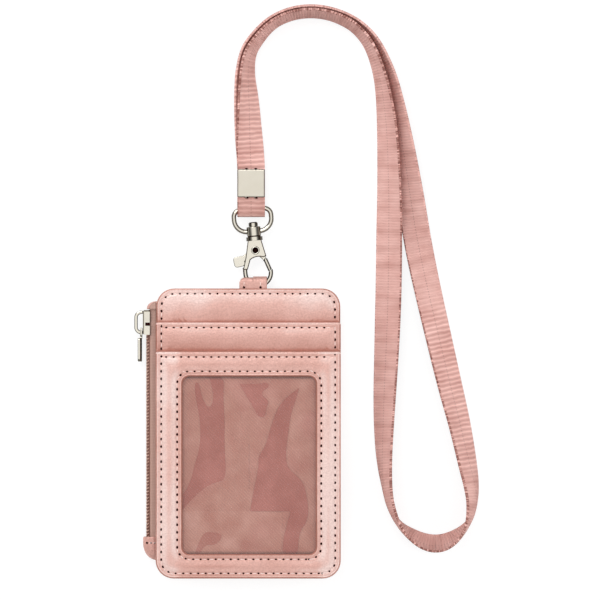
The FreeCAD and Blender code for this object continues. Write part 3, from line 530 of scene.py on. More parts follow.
def thick_piece(name, outer, inner, quads, material, body, slot, node=""):
    """Closed piece between two like sets of points, covered by the same quads, with walls round their rim."""
    count = len(outer)
    faces = list(quads)
    faces += [tuple(count + i for i in quad) for quad in flipped(quads)]
    edges = {(a, b) for quad in quads for a, b in zip(quad, quad[1:] + quad[:1])}
    for a, b in sorted(edges):
        if (b, a) not in edges:
            faces.append((b, a, count + a, count + b))
    return mesh_piece(name, outer + inner, faces, material, body, slot, node)


def spline_points(name, controls):
    """Points read from one smooth spline with these control points."""
    curve = bpy.data.curves.new(name, "CURVE")
    curve.dimensions = "3D"
    spline = curve.splines.new("NURBS")
    spline.points.add(len(controls) - 1)
    for point, place in zip(spline.points, controls):
        point.co = (*place, 1)
    spline.order_u = spline_order
    spline.use_endpoint_u = True
    spline.resolution_u = spline_steps
    holder = bpy.data.objects.new(name, curve)
    mesh = bpy.data.meshes.new_from_object(holder)
    points = [vertex.co.copy() for vertex in mesh.vertices]
    bpy.data.meshes.remove(mesh)
    bpy.data.objects.remove(holder)
    bpy.data.curves.remove(curve)
    return points


# Leather sheets, whose outline is (x0, x1, y0, y1, lower radius, upper radius)

slot_layers = [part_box("slot_strip"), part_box("window_panel")]


def sheet_of(node, lower_radius, upper_radius):
    """Outline values and heights of a flat node."""
    low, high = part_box(node)
    return (low[0], high[0], low[1], high[1], lower_radius, upper_radius), low[2], high[2]


def outline(x0, x1, y0, y1, lower_radius, upper_radius):
    """Points round a rounded rectangle, from its lower right corner on, in a count that never changes."""
    corners = (
        (x1 - lower_radius, y0 + lower_radius, lower_radius, 270),
        (x1 - upper_radius, y1 - upper_radius, upper_radius, 0),
        (x0 + upper_radius, y1 - upper_radius, upper_radius, 90),
        (x0 + lower_radius, y0 + lower_radius, lower_radius, 180),
    )
    steps = [90 * i / (outline_corner_points - 1) for i in range(outline_corner_points)]
    arcs = []
    for x, y, radius, start in corners:
        turns = [math.radians(start + step) for step in steps]
        arcs.append([Vector((x + radius * math.cos(t), y + radius * math.sin(t), 0)) for t in turns])
    points = []
    for arc, following in zip(arcs, arcs[1:] + arcs[:1]):
        points += arc
        points += [arc[-1].lerp(following[0], k / outline_side_points) for k in range(1, outline_side_points)]
    return points


def inset_outline(sheet, inset):
    """The outline of a sheet moved in by an inset."""
    x0, x1, y0, y1, lower, upper = sheet
    return outline(x0 + inset, x1 - inset, y0 + inset, y1 - inset,
                   max(lower - inset, sharp_corner), max(upper - inset, sharp_corner))


def inset_of(point, sheet):
    """Distance of a place from a sheet's rounded outline, counted inwards."""
    x0, x1, y0, y1, lower, upper = sheet
    centre_y = (y0 + y1) / 2
    radius = lower if point.y < centre_y else upper
    beyond_x = abs(point.x - (x0 + x1) / 2) - (x1 - x0) / 2 + radius
    beyond_y = abs(point.y - centre_y) - (y1 - y0) / 2 + radius
    outside = math.hypot(max(beyond_x, 0), max(beyond_y, 0)) + min(max(beyond_x, beyond_y), 0)
    return radius - outside


def held(share):
    """A share kept between 0 and 1."""
    return min(max(share, 0), 1)


def smooth(share):
    """A share with a soft start and end."""
    return share * share * (3 - 2 * share)


def bell(distance, reach):
    """1 at no distance, fading to nothing past a reach."""
    return math.exp(-(distance / reach) ** 2)


def wave(point, height, length, seed):
    """Smooth unevenness of a soft surface."""
    return height * noise.noise(Vector((point.x / length, point.y / length, seed)))


def mouths_on(top):
    """The y of each slot mouth that the next layer makes on a layer with this top."""
    return [high[1] for low, high in slot_layers if abs(low[2] - top) < sheet_tuck]


def slot_mouth_dip(point, top):
    """How far a layer sinks towards the mouth of a slot on it."""
    return sum(slot_dip * bell(max(point.y - mouth, 0), slot_dip_reach) for mouth in mouths_on(top))


def leather_surface(point, inset, top, seed):
    """Height of a stitched leather sheet at a distance from its edge."""
    inside = held((inset - stitch_inset) / (2 * stitch_inset))
    height = top + leather_puff * smooth(inside) - rim_drop * (1 - inside)
    height -= groove_depth * bell(inset - stitch_inset, groove_half_width)
    height -= crease_depth * bell(inset - crease_inset, crease_half_width)
    height += wave(point, leather_wave, leather_wave_length, seed) * min(inset / stitch_inset, 1)
    height += wave(point, leather_ripple, leather_ripple_length, seed + ripple_seed_step)
    return height - slot_mouth_dip(point, top)


def leather_tone(point, inset, top, seed):
    """Painted highlight beside the stitches and on the rolled edge, painted shade in the mouth of a slot, and
    dark edge paint at the very edge.
    """
    uneven = 1 + wave(point, 1, tone_wave_length, seed)
    tone = stitch_painted_highlight * bell(inset - stitch_painted_highlight_inset, stitch_painted_highlight_reach) * uneven
    # painted shade down in the mouth of a slot
    tone -= slot_painted_shade * slot_mouth_dip(point, top) / slot_dip
    for mouth in mouths_on(top):
        tone -= mouth_painted_shade * bell(max(point.y - mouth, 0), mouth_painted_shade_reach)
    at_mouth = min(abs(point.y - high[1]) for low, high in slot_layers) < roll_painted_highlight_inset
    if inset < edge_paint_inset and not at_mouth:
        return tone - edge_paint
    return tone + roll_painted_highlight if inset < roll_painted_highlight_inset else tone


def tone_sheet(piece, sheet, opening, top, seed):
    """Writes the tone of a leather sheet into its mesh, with its painted highlights and shade, and painted
    light that makes the window frame paler towards its sides.
    """
    tones = []
    for vertex in piece.data.vertices:
        inset = inset_of(vertex.co, sheet)
        tone = sheet_tones[piece.name]
        if opening:
            inset = min(inset, -inset_of(vertex.co, opening))
            beside = max(opening[0] - vertex.co.x, vertex.co.x - opening[1], 0)
            tone += frame_side_painted_light * min(beside / frame_side_painted_light_reach, 1)
        tones.append(tone + leather_tone(vertex.co, inset, top, seed))
    write_values(piece, "tone", tones)


def leather_ring(edge, side, inset, top, seed, drop=0):
    """Points on leather at an inset from its edge (side 1) or from the edge of an opening (side -1)."""
    points = inset_outline(edge, side * inset)
    return [Vector((p.x, p.y, leather_surface(p, inset, top, seed) - drop)) for p in points]


def edge_rings(edge, side, top, seed):
    """Rings over the rolled edge of leather and on past its stitches."""
    rings = []
    for share in roll_shares:
        drop = edge_roll * (1 - math.sqrt(1 - (1 - share) ** 2))
        rings.append(leather_ring(edge, side, edge_roll * share, top, seed, drop))
    return rings + [leather_ring(edge, side, inset, top, seed) for inset in sheet_rings]


def deep_insets(sheet):
    """Insets of the rings that fill a sheet from its stitches to its middle."""
    x0, x1, y0, y1 = sheet[:4]
    limit = min(x1 - x0, y1 - y0) / 2
    count = int((limit - sheet_rings[-1]) / ring_step)
    return [sheet_rings[-1] + ring_step * (i + 1) for i in range(count)]


def make_leather_sheet(name, node, corners, sink, seed, opening=None):
    """Leather sheet, stitched round its edge and its opening, whose underside sinks into the layer below."""
    sheet, bottom, top = sheet_of(node, *corners)
    bottom -= sink
    rings = [raised(inset_outline(sheet, sheet_tuck), bottom)]
    rings.append(raised(inset_outline(sheet, 0), bottom + sheet_tuck))
    rings += edge_rings(sheet, 1, top, seed)
    if opening:
        inner = edge_rings(opening, -1, top, seed)[::-1]
        outer_end = rings[-1]
        for share in middle_ring_shares:
            middle = []
            for a, b in zip(outer_end, inner[0]):
                p = a.lerp(b, share)
                inset = min(inset_of(p, sheet), -inset_of(p, opening))
                middle.append(Vector((p.x, p.y, leather_surface(p, inset, top, seed))))
            rings.append(middle)
        rings += inner
        rings.append(raised(inset_outline(opening, -sheet_tuck), bottom))
    else:
        rings += [leather_ring(sheet, 1, inset, top, seed) for inset in deep_insets(sheet)]
    piece = mesh_piece(name, *loft(rings, closed=bool(opening)), leather, "wallet", "leather", node)
    tone_sheet(piece, sheet, opening, top, seed)


def window_opening():
    low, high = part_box("window_film")
    return (low[0] + film_margin, high[0] - film_margin, low[1] + film_margin, high[1] - film_margin,
            window_corner, window_corner)


def rim_height(point, sheet, floor, rim):
    """Height of the back's wall: it is down at the zip and where the hanger loop goes in."""
    zip_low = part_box("zip_end_lower")[0][1]
    loop_low, loop_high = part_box("hanger_loop")
    at_zip = point.x < sheet[0] + panel_corner and zip_low < point.y < -zip_low
    below_loop = loop_low[0] - loop_room < point.x < loop_high[0] + loop_room
    at_loop = below_loop and point.y > sheet[3] - panel_corner
    return floor + rim_lip if at_zip or at_loop else rim


def make_back():
    """Dished leather back with a round outer edge."""
    sheet, bottom, rim = sheet_of("back_panel", panel_corner, panel_corner)
    floor = bottom + back_wall
    heights = [rim_height(p, sheet, floor, rim) for p in inset_outline(sheet, 0)]

    def ring(inset, z_of):
        return [Vector((p.x, p.y, z_of(p, h))) for p, h in zip(inset_outline(sheet, inset), heights)]

    def sagging(p, h):
        return bottom + back_bulge + wave(p, back_bulge, leather_wave_length, back_seed)

    rings = [ring(inset, sagging) for inset in reversed(back_rings)]
    for i in range(back_round_steps + 1):
        points = []
        for k, h in enumerate(heights):
            turn = math.acos(max(1 - (h - bottom) / back_edge_radius, 0)) * i / back_round_steps
            p = inset_outline(sheet, back_edge_radius * (1 - math.sin(turn)))[k]
            points.append(Vector((p.x, p.y, bottom + back_edge_radius * (1 - math.cos(turn)))))
        rings.append(points)
    rings.append(ring(0, lambda p, h: h - rim_lip))
    for inset in (rim_lip, back_wall):
        rings.append(ring(inset, lambda p, h: h))
    for inset in (back_wall + rim_lip, *back_rings):
        rings.append(ring(inset, lambda p, h: floor))
    mesh_piece("leather_back", *loft(rings), leather, "wallet", "leather", "back_panel")


def blend_loop(piece):
    """The loop's foot stays in the wallet and its fold goes with the hook."""
    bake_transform(piece, "wallet", "hook", (0, loop_hold, 0), (0, loop_free, 0))


def make_loop():
    """Folded leather tab: two plies joined by a fold on the right, open on the left for the hook's arm."""
    low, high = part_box("hanger_loop")
    middle = (low[2] + high[2]) / 2
    radius = (high[2] - low[2]) / 2 - loop_leather / 2
    fold_y = high[1] - radius - loop_leather / 2

    def straight(start, end, side):
        shares = [j / loop_straight_steps for j in range(loop_straight_steps + 1)]
        return [(start + (end - start) * share, middle + side * radius, 0, side) for share in shares]

    def bent(turns):
        outward = [(math.sin(turn), math.cos(turn)) for turn in turns]
        return [(fold_y + radius * y, middle + radius * z, y, z) for y, z in outward]

    fold_turns = [math.pi * j / loop_fold_steps for j in range(1, loop_fold_steps)]
    flap_turns = [math.radians(loop_flap_turn) * j / loop_flap_steps for j in range(1, loop_flap_steps + 1)]
    profile = straight(low[1], fold_y, 1) + bent(fold_turns) + straight(fold_y, low[1], -1) + bent(flap_turns)
    outer = []
    inner = []
    for row, (y, z, out_y, out_z) in enumerate(profile):
        flap_share = max(row - len(profile) + loop_flap_steps + 1, 0) / loop_flap_steps
        out = Vector((0, out_y, out_z))
        for i in range(loop_columns + 1):
            x = low[0] + (high[0] - low[0]) * i / loop_columns
            reach = max(loop_corner - (x - low[0]), 0)
            drop = loop_corner - math.sqrt(loop_corner ** 2 - reach ** 2)
            point = Vector((x, y - drop * flap_share, z))
            point += out * wave(point, leather_wave, leather_ripple_length, back_seed)
            outer.append(point + out * (loop_leather / 2))
            inner.append(point - out * (loop_leather / 2))
    half = loop_columns // 2
    across = loop_columns + 1
    first_flap = len(profile) - loop_flap_steps
    quads = grid_quads(loop_straight_steps, loop_columns)
    quads += grid_quads(loop_fold_steps, half, loop_straight_steps, half, across)
    quads += grid_quads(loop_straight_steps, loop_columns, loop_straight_steps + loop_fold_steps)
    quads += grid_quads(loop_flap_steps - 1, half, first_flap, 0, across)
    for i in range(half):
        a = loop_straight_steps * across + i
        b = first_flap * across + i
        quads.append((a, a + 1, b + 1, b))
    piece = thick_piece("leather_loop", outer, inner, flipped(quads), leather, "", "leather")
    blend_loop(piece)
    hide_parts("hanger_loop")


# Lining, divider and film


def soft_slab(name, node, corners, sink, height, length, seed, material, slot):
    """Thin cloth or film, gently uneven and drawn flat at its edges. Returns the piece and its outline."""
    sheet, bottom, top = sheet_of(node, *corners)
    bottom -= sink

    def level(z):
        rings = []
        for inset in list(sheet_rings) + deep_insets(sheet):
            calm = min(inset / soft_margin, 1)
            points = inset_outline(sheet, inset)
            rings.append([Vector((p.x, p.y, z + calm * wave(p, height, length, seed))) for p in points])
        return rings

    edge = inset_outline(sheet, 0)
    rings = level(bottom)[::-1] + [raised(edge, bottom), raised(edge, top)] + level(top)
    return mesh_piece(name, *loft(rings), material, "wallet", slot, node), sheet


def make_cloth(name, node, corners, sink, height):
    """Lining cloth, sewn in flat."""
    piece, sheet = soft_slab(name, node, corners, sink, height, lining_wave_length, lining_seed,
                             twill, "lining")


def make_film():
    corners = (window_corner, window_corner)
    soft_slab("clear_film", "window_film", corners, 0, film_wave, film_wave_length, film_seed, film, "film")


def make_cling_patches():
    """Places where the film clings to the lining and the cloth looks darker or paler."""
    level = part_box("slot_lining")[1][2] + cling_height
    outer = []
    polygons = []
    tones = []
    for i, (tone, controls) in enumerate(cling_patches):
        controls = [Vector((x, y, level + cling_step * i)) for x, y in controls]
        points = spline_points("cling", controls + controls[:1])[:-1]
        polygons.append(tuple(range(len(outer) + len(points) - 1, len(outer) - 1, -1)))
        outer += points
        tones += [tone] * len(points)
    inner = lowered(outer, cling_thickness)
    piece = thick_piece("cling_patches", outer, inner, polygons, twill, "wallet", "lining")
    for polygon in piece.data.polygons:
        polygon.use_smooth = False
    write_values(piece, "cling", tones + tones)


# Zip


def make_tape(side, name, node):
    """Woven tape: it stands behind the teeth and bends round into the pocket."""
    low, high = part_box(node)
    flange, start = (high[2], low[2]) if side > 0 else (low[2], high[2])
    bend_x = low[0] + tape_bend_radius
    bend_z = flange - side * tape_bend_radius
    section = [(low[0], start, -1, 0), (low[0], (start + bend_z) / 2, -1, 0)]
    for i in range(tape_bend_steps + 1):
        turn = math.pi / 2 * i / tape_bend_steps
        out = (-math.cos(turn), side * math.sin(turn))
        section.append((bend_x + tape_bend_radius * out[0], bend_z + tape_bend_radius * out[1], *out))
    section += [((bend_x + high[0]) / 2, flange, 0, side), (high[0], flange, 0, side)]
    outer = []
    inner = []
    for j in range(tape_rows + 1):
        y = low[1] + (high[1] - low[1]) * j / tape_rows
        sink = tape_wave * (1 + noise.noise(Vector((0, y / tape_wave_length, side))))
        for x, z, out_x, out_z in section:
            out = Vector((out_x, 0, out_z))
            point = Vector((x, y, z)) - out * sink
            outer.append(point)
            inner.append(point - out * tape_thickness)
    quads = grid_quads(tape_rows, len(section) - 1)
    thick_piece(name, outer, inner, quads if side > 0 else flipped(quads), tape, "wallet", "zip_tape", node)


def make_coil(name, node):
    """One side of the zip: a coil of plastic wire round a core that is sewn to the tape's edge."""
    low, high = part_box(node)
    centre_x = (low[0] + high[0]) / 2
    centre_z = (low[2] + high[2]) / 2
    reach = (high[0] - low[0]) / 2 - coil_wire_radius
    half = (high[2] - low[2]) / 2 - coil_wire_radius
    turns = int((high[1] - low[1]) / coil_pitch)
    points = []
    for i in range(turns * coil_points_per_turn + 1):
        turn = 2 * math.pi * i / coil_points_per_turn
        y = high[1] - coil_wire_radius - coil_pitch * i / coil_points_per_turn
        points.append(Vector((centre_x + reach * math.cos(turn), y, centre_z + half * math.sin(turn))))
    wire = tube(points, coil_wire_radius, coil_sides, coil_tilt)
    mesh_piece(name, *wire, coil_plastic, "wallet", "zip_teeth", node)
    section = []
    for k in range(coil_sides + 1):
        turn = math.pi / 2 + math.pi * k / coil_sides
        x = centre_x + coil_core_radius * math.cos(turn)
        section.append((x, centre_z + coil_core_radius * math.sin(turn)))
    section += [(high[0] + coil_web_reach, centre_z + side * coil_web_half) for side in (-1, 1)]
    rings = [[Vector((x, y, z)) for x, z in section] for y in (high[1], low[1])]
    mesh_piece(name + "_core", *loft(rings), tape, "wallet", "zip_tape")


def end_rows(reach, start_y, end_y, bend_y):
    """Pairs of (y, reach) along a zip end: straight beside the zip, then curving in to the panel."""
    rows = [(start_y, reach - end_lip), (start_y + (bend_y - start_y) * end_lip_share, reach)]
    for i in range(end_curve_steps + 1):
        turn = math.radians(end_curve_turn) * i / end_curve_steps
        rows.append((bend_y + (end_y - bend_y) * math.sin(turn), reach * math.cos(turn)))
    return rows


def end_section(reach, right, z_low, z_high):
    """Points of a folded leather section, from the front flange round the fold to the back flange."""
    bend = min((z_high - z_low) / 2 * end_round_share, reach)
    points = [(right + end_tuck, z_high), (right - (reach - bend) / 2, z_high)]
    for quarter, z in enumerate((z_high - bend, z_low + bend)):
        for i in range(end_round_steps + 1):
            turn = math.pi / 2 * (quarter + i / end_round_steps)
            points.append((right - reach + bend - bend * math.sin(turn), z + bend * math.cos(turn)))
    return points + [(right - (reach - bend) / 2, z_low), (right + end_tuck, z_low)]


def make_zip_end(name, node, at_top, straight):
    """Leather folded round the end of the zip."""
    low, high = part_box(node)
    reach = high[0] - low[0]
    start_y, end_y = (low[1], high[1]) if at_top else (high[1], low[1])
    rows = end_rows(reach, start_y, end_y, start_y + math.copysign(straight, end_y - start_y))
    outer = []
    inner = []
    for y, wide in rows:
        pull_in = end_swell * (1 - wide / reach)
        for x, z in end_section(wide, high[0], low[2] + pull_in, high[2] - pull_in):
            point = Vector((x, y, z))
            point.z += wave(point, leather_wave, leather_ripple_length, back_seed)
            outer.append(point)
        narrow = max(wide - end_leather, end_leather * end_least_share)
        section = end_section(narrow, high[0], low[2] + end_leather, high[2] - end_leather)
        inner += [Vector((x, y, z)) for x, z in section]
    quads = grid_quads(len(rows) - 1, len(outer) // len(rows) - 1)
    thick_piece(name, outer, inner, flipped(quads) if at_top else quads, leather, "wallet", "leather", node)


def make_tape_end():
    """The tape's upper end, laid over the leather that closes the zip there."""
    low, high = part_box("zip_end_upper")
    reach = high[0] - low[0]
    rows = end_rows(reach, low[1], high[1], low[1] + upper_end_straight)[:tape_end_rows]
    outer = []
    for y, wide in rows:
        top = high[2] - end_swell * (1 - wide / reach) + tape_end_lift
        bend = min((high[2] - low[2]) / 2 * end_round_share, wide)
        for i in range(tape_end_columns + 1):
            out = max(wide - tape_end_rim, 0) * i / tape_end_columns
            round_in = max(out - wide + bend, 0)
            point = Vector((high[0] - out, y, top - bend + math.sqrt(bend ** 2 - round_in ** 2)))
            point.z += wave(point, leather_wave, leather_ripple_length, back_seed)
            outer.append(point)
    quads = flipped(grid_quads(len(rows) - 1, tape_end_columns))
    thick_piece("tape_end", outer, lowered(outer, tape_thickness), quads, tape, "wallet", "zip_tape")


def make_slider_gap():
    """Painted shade inside the slider, between its lips: a dark sheet."""
    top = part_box("slider_body")[1][2] - slider_gap_drop
    outer = [Vector((x, y, top)) for y in slider_gap_y for x in slider_gap_x]
    inner = lowered(outer, slider_gap_thickness)
    thick_piece("slider_gap", outer, inner, grid_quads(1, 1), hole_painted_shade, "slider", "nickel")


# Webbing


def webbing_line(name, sections):
    """Centre points and width directions along webbing, from (centre, across) pairs."""
    centres = spline_points(name + "_centre", [centre for centre, across in sections])
    half = strap_width / 2
    edges = spline_points(name + "_edge", [centre + across * half for centre, across in sections])
    return [(centre, (edge - centre).normalized()) for centre, edge in zip(centres, edges)]


def route_sections():
    """Centre and width direction at every point of the strap's way."""
    sections = []
    for i, (x, y, roll, lift) in enumerate(strap_route):
        before, after = neighbours(strap_route, i)
        along = Vector((after[0] - before[0], after[1] - before[1], 0)).normalized()
        tilt = math.radians(roll)
        across = Vector((-along.y, along.x, 0)) * math.cos(tilt) + Vector((0, 0, math.sin(tilt)))
        rise = strap_width / 2 * abs(math.sin(tilt)) + strap_thickness / 2 * abs(math.cos(tilt))
        sections.append((Vector((x, y, lift + rise)), across))
    return sections


def rib_zone(point, ribbed):
    """How much of the coarse ribbing shows: full near the crimp and on the ribbon that is ribbed."""
    near_crimp = 1 - held((abs(point.y - coarse_crimp_y) - coarse_crimp_reach) / coarse_fade)
    on_ribbon = 1 - held((abs(point.y - coarse_ribbon_y) - coarse_ribbon_reach) / coarse_fade)
    return near_crimp if point.x < coarse_split_x else on_ribbon * ribbed


def cup(point):
    """How far the strap's middle stands out where it turns on its edge at the bottom of the loop."""
    return cup_depth * smooth(held((cup_start_y - point.y) / (cup_start_y - cup_full_y)))


def make_webbing(name, line, start, ribbed, material):
    """Woven strap with raised edges along (centre, across) pairs. Returns the piece and its length."""
    rings = []
    places = []
    distance = start
    for i, (centre, across) in enumerate(line):
        before, after = neighbours(line, i)
        along = (after[0] - before[0]).normalized()
        across = (across - along * across.dot(along)).normalized()
        through = along.cross(across)
        distance += (centre - before[0]).length
        wander = strap_rib_wander * noise.noise(Vector((distance / strap_rib_wander_length, 0, 0)))
        rib = math.sin(2 * math.pi * (distance / strap_rib_pitch + wander))
        swell = 1 + strap_rib_share * rib * rib_zone(centre, ribbed)
        ripple_place = Vector((distance / webbing_ripple_length, webbing_ripple_seed, 0))
        lift = webbing_ripple * noise.noise(ripple_place)
        ring = []
        for side in (1, -1):
            for width_share, thick_share in webbing_section_shares[::side]:
                width = strap_width / 2 * width_share
                inner_swell = swell if abs(width_share) < strap_edge_share else 1
                thick = side * strap_thickness / 2 * thick_share * inner_swell
                out = thick + lift * (1 - abs(width_share)) + cup(centre) * (1 - width_share ** 2)
                ring.append(centre + across * width + through * out)
                places.append((distance, width))
        rings.append(ring)
    piece = mesh_piece(name, *loft(rings), material, "lanyard", "webbing", "lanyard_strap")
    layer = piece.data.uv_layers.new(name="along_across")
    for loop in piece.data.loops:
        layer.data[loop.index].uv = places[loop.vertex_index]
    write_values(piece, "coarse", [rib_zone(vertex.co, ribbed) for vertex in piece.data.vertices])
    return piece, distance - start


def make_strap():
    """The long loop as two strands that meet at its lowest place."""
    line = webbing_line("strap", route_sections())
    lowest = min(range(len(line)), key=lambda i: line[i][0].y)
    first, first_length = make_webbing("webbing_down", line[:lowest + 1], 0, 0, webbing)
    second, second_length = make_webbing("webbing_up", line[lowest:], first_length, 1, webbing)


def make_strap_fold():
    """The strap's tail in the crimp, its fold round the ring's bar and its way back to the crimp's front."""
    left = Vector((-1, 0, 0))
    sections = [(Vector((crimp_x, y, z)), left) for y, z in strap_fold_route]
    make_webbing("webbing_fold", webbing_line("fold", sections), 0, 0, shaded_fold_webbing)


# Stitches

upward = Vector((0, 0, 1))


def along_path(points, closed, pitch):
    """Evenly spaced places along a line of points, with their directions."""
    line = points + points[:1] if closed else points
    places = []
    wanted = 0
    walked = 0
    for a, b in zip(line, line[1:]):
        step = (b - a).length
        while step and wanted <= walked + step:
            places.append((a.lerp(b, (wanted - walked) / step), (b - a).normalized()))
            wanted += pitch
        walked += step
    return places


def add_rings(mesh, rings, capped):
    """Adds lofted rings to the vertices and faces of a mesh."""
    vertices, faces = mesh
    first = len(vertices)
    ring_vertices, ring_faces = loft(rings, capped=capped)
    vertices += ring_vertices
    faces += [tuple(first + i for i in face) for face in ring_faces]


def add_thread(mesh, centre, along, up):
    """A short round-ended thread that dips at both ends."""
    across = up.cross(along)
    rings = []
    for i in range(thread_rings + 1):
        share = 2 * i / thread_rings - 1
        swell = math.sqrt(max(1 - share ** 4, 0)) * thread_radius
        middle = centre + along * (thread_length / 2 * share) - up * (thread_radius * share * share)
        rings.append(oval(middle, across * swell, up * swell, thread_sides))
    add_rings(mesh, rings, False)


def add_hole(mesh, centre, along, up):
    """A needle hole: a low oval, dark with painted shade."""
    across = up.cross(along)
    size = upright_hole_share if abs(along.y) > abs(along.x) else 1
    rings = []
    for rise_share, spread_share in hole_section_shares:
        middle = centre + up * (hole_height * rise_share - hole_height / 2)
        spread = spread_share * size
        wide = along * (hole_length / 2 * spread)
        rings.append(oval(middle, wide, across * (hole_width / 2 * spread), hole_sides))
    add_rings(mesh, rings, True)


def stitch_row(name, points, closed, surface, up=upward, body="wallet", pitch=stitch_pitch):
    """A row of thread along points on a surface, with a needle hole at each end of every stitch."""
    thread_mesh = ([], [])
    hole_mesh = ([], [])
    for place, along in along_path(points, closed, pitch):
        spot = surface(place)
        if spot is None:
            continue
        add_hole(hole_mesh, spot, along, up)
        ahead = surface(place + along * (stitch_pitch / 2))
        if ahead is not None:
            add_thread(thread_mesh, ahead + up * thread_rise, along, up)
    threads = mesh_piece(name + "_thread", *thread_mesh, thread, body, "leather")
    holes = mesh_piece(name + "_holes", *hole_mesh, hole_painted_shade, body, "leather")
    return threads, holes


def panel_surface(place):
    """A place on the stitched rim of the front, on whichever layer lies there, or none at a layer's edge."""
    for node, seed in (("window_panel", window_seed), ("slot_strip", band_seed), ("base_panel", front_seed)):
        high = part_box(node)[1]
        if abs(place.y - high[1]) < stitch_edge_room:
            return None
        if place.y < high[1]:
            return Vector((place.x, place.y, leather_surface(place, stitch_inset, high[2], seed)))
    return None


def flat_surface(z):
    """A level surface, which takes a place to its height."""
    return lambda place: Vector((place.x, place.y, z))


def make_stitches():
    """Rows round the front, window and back, along both slot mouths, on the loop and at the zip's end."""
    rim = sheet_of("base_panel", panel_corner, panel_corner)[0]
    stitch_row("stitches_rim", inset_outline(rim, stitch_inset), True, panel_surface)
    stitch_row("stitches_window", inset_outline(window_opening(), -stitch_inset), True, panel_surface)
    for name, node in (("stitches_band", "slot_strip"), ("stitches_panel", "window_panel")):
        low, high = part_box(node)
        columns = (low[0] + 2 * stitch_inset, high[0] - 2 * stitch_inset)
        stitch_row(name, [Vector((x, high[1] - stitch_inset, 0)) for x in columns], False, panel_surface)
    back, bottom, top = sheet_of("back_panel", panel_corner, panel_corner)
    back_surface = flat_surface(bottom + back_stitch_height)
    stitch_row("stitches_back", inset_outline(back, back_stitch_inset), True, back_surface, -upward)
    loop_surface = flat_surface(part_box("hanger_loop")[1][2])
    for i, x in enumerate(loop_stitch_columns):
        ends = [Vector((x, y, 0)) for y in (loop_stitch_start, loop_stitch_start + stitch_pitch / 2)]
        for piece in stitch_row(f"stitches_loop_{i}", ends, False, loop_surface, body=""):
            blend_loop(piece)
    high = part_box("zip_end_lower")[1]
    ends = [Vector((x, lower_end_stitch_y, 0)) for x in (high[0] - end_stitch_out, high[0])]
    stitch_row("stitches_end", ends, False, flat_surface(high[2]), pitch=end_stitch_pitch)


# Metal pieces


def dress(node, material, edge, swell):
    """A finish on a solid, with its edges shown a little rounded and its skin moved out by a swell."""
    solid = bpy.data.objects[node]
    solid.data.materials.clear()
    solid.data.materials.append(material)
    for attribute in [a for a in solid.data.attributes if a.name == "custom_normal"]:
        solid.data.attributes.remove(attribute)
    for polygon in solid.data.polygons:
        polygon.use_smooth = True
    weld = solid.modifiers.new("joined", "WELD")
    weld.merge_threshold = weld_distance
    if swell:
        displaced = solid.modifiers.new("fuller", "DISPLACE")
        displaced.strength = swell
        displaced.mid_level = 0
    bevel = solid.modifiers.new("worn_edges", "BEVEL")
    bevel.width = edge
    bevel.segments = worn_edge_steps
    bevel.limit_method = "ANGLE"
    bevel.angle_limit = math.radians(worn_edge_angle)
    bevel.harden_normals = True
    return solid


def join_facets(solid):
    """Flat faces taken as one, so that the rounding of their edges keeps its full width."""
    flat = solid.modifiers.new("flat_facets", "DECIMATE")
    flat.decimate_type = "DISSOLVE"
    flat.angle_limit = math.radians(flat_facet_angle)
    solid.modifiers.move(len(solid.modifiers) - 1, 1)
    solid.modifiers["worn_edges"].use_clamp_overlap = False


def dress_metal():
    """Finish on the rigid metal pieces, which show their solids."""
    for node in ("gate_spring", "swivel_ring", "slider_body"):
        dress(node, nickel, worn_edge, 0)
    dress("hook_body", hook_nickel_painted_flanks, hook_edge, 0)
    for node in ("gate_rivet", "gate_lever"):
        join_facets(dress(node, hook_nickel_painted_flanks, worn_edge, 0))
    join_facets(dress("zip_pull", nickel, worn_edge, 0))
    join_facets(dress("slider_bail", nickel, bail_edge, bail_swell))
    join_facets(dress("crimp_plate", crimp_metal, worn_edge, 0))


def make_leaf_spring():
    """The spring that shuts the gate: its root stays in the hook and its tip goes with the gate."""
    solid = bpy.data.objects["gate_spring"]
    low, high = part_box("gate_spring")
    vertices = [solid.matrix_world @ vertex.co for vertex in solid.data.vertices]
    faces = [tuple(polygon.vertices) for polygon in solid.data.polygons]
    piece = mesh_piece("leaf_spring", vertices, faces, nickel, "", "nickel")
    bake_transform(piece, "hook", "gate", (high[0], high[1], 0), (low[0], low[1], 0))
    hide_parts("gate_spring")


def make_rivet_core():
    """A dark plug in the rivet's hole, as its closed end, coloured with painted shade."""
    low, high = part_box("gate_rivet")
    ends = [(low + high) / 2 + upward * half for half in (-rivet_core_half, rivet_core_half)]
    core = tube(ends, rivet_core_radius, round_sides, (0, 1, 0))
    mesh_piece("rivet_core", *core, hole_painted_shade, "hook", "nickel")


def make_swivel_gap_shade():
    """Painted shade in the gap between the hook's shoulder and the swivel's collar: a dark ring."""
    ends = [Vector(place) for place in swivel_gap_shade_ends]
    gap_shade = tube(ends, swivel_gap_shade_radius, round_sides, upward)
    mesh_piece("swivel_gap_shade", *gap_shade, hole_painted_shade, "hook", "nickel")


def make_prong_gaps():
    """Painted shade in the gaps beside the prongs that hold the crimp in the webbing."""
    gaps = ([], [])
    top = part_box("crimp_plate")[1][2]
    for x, y in prong_gap_places:
        add_hole(gaps, Vector((x, y, top)), Vector((1, 0, 0)), upward)
    mesh_piece("prong_gaps", *gaps, hole_painted_shade, "lanyard", "crimp")


# Material helpers


def feed(tree, node, inputs):
    """Gives each named input of a node a link from another node or a value."""
    for key, value in inputs.items():
        if isinstance(value, bpy.types.NodeSocket):
            tree.links.new(value, node.inputs[key])
        else:
            node.inputs[key].default_value = value


def add_node(tree, kind, output, inputs, **settings):
    """A node with its settings and inputs. Returns one of its outputs."""
    node = tree.nodes.new(kind)
    for key, value in settings.items():
        setattr(node, key, value)
    feed(tree, node, inputs)
    return node.outputs[output]


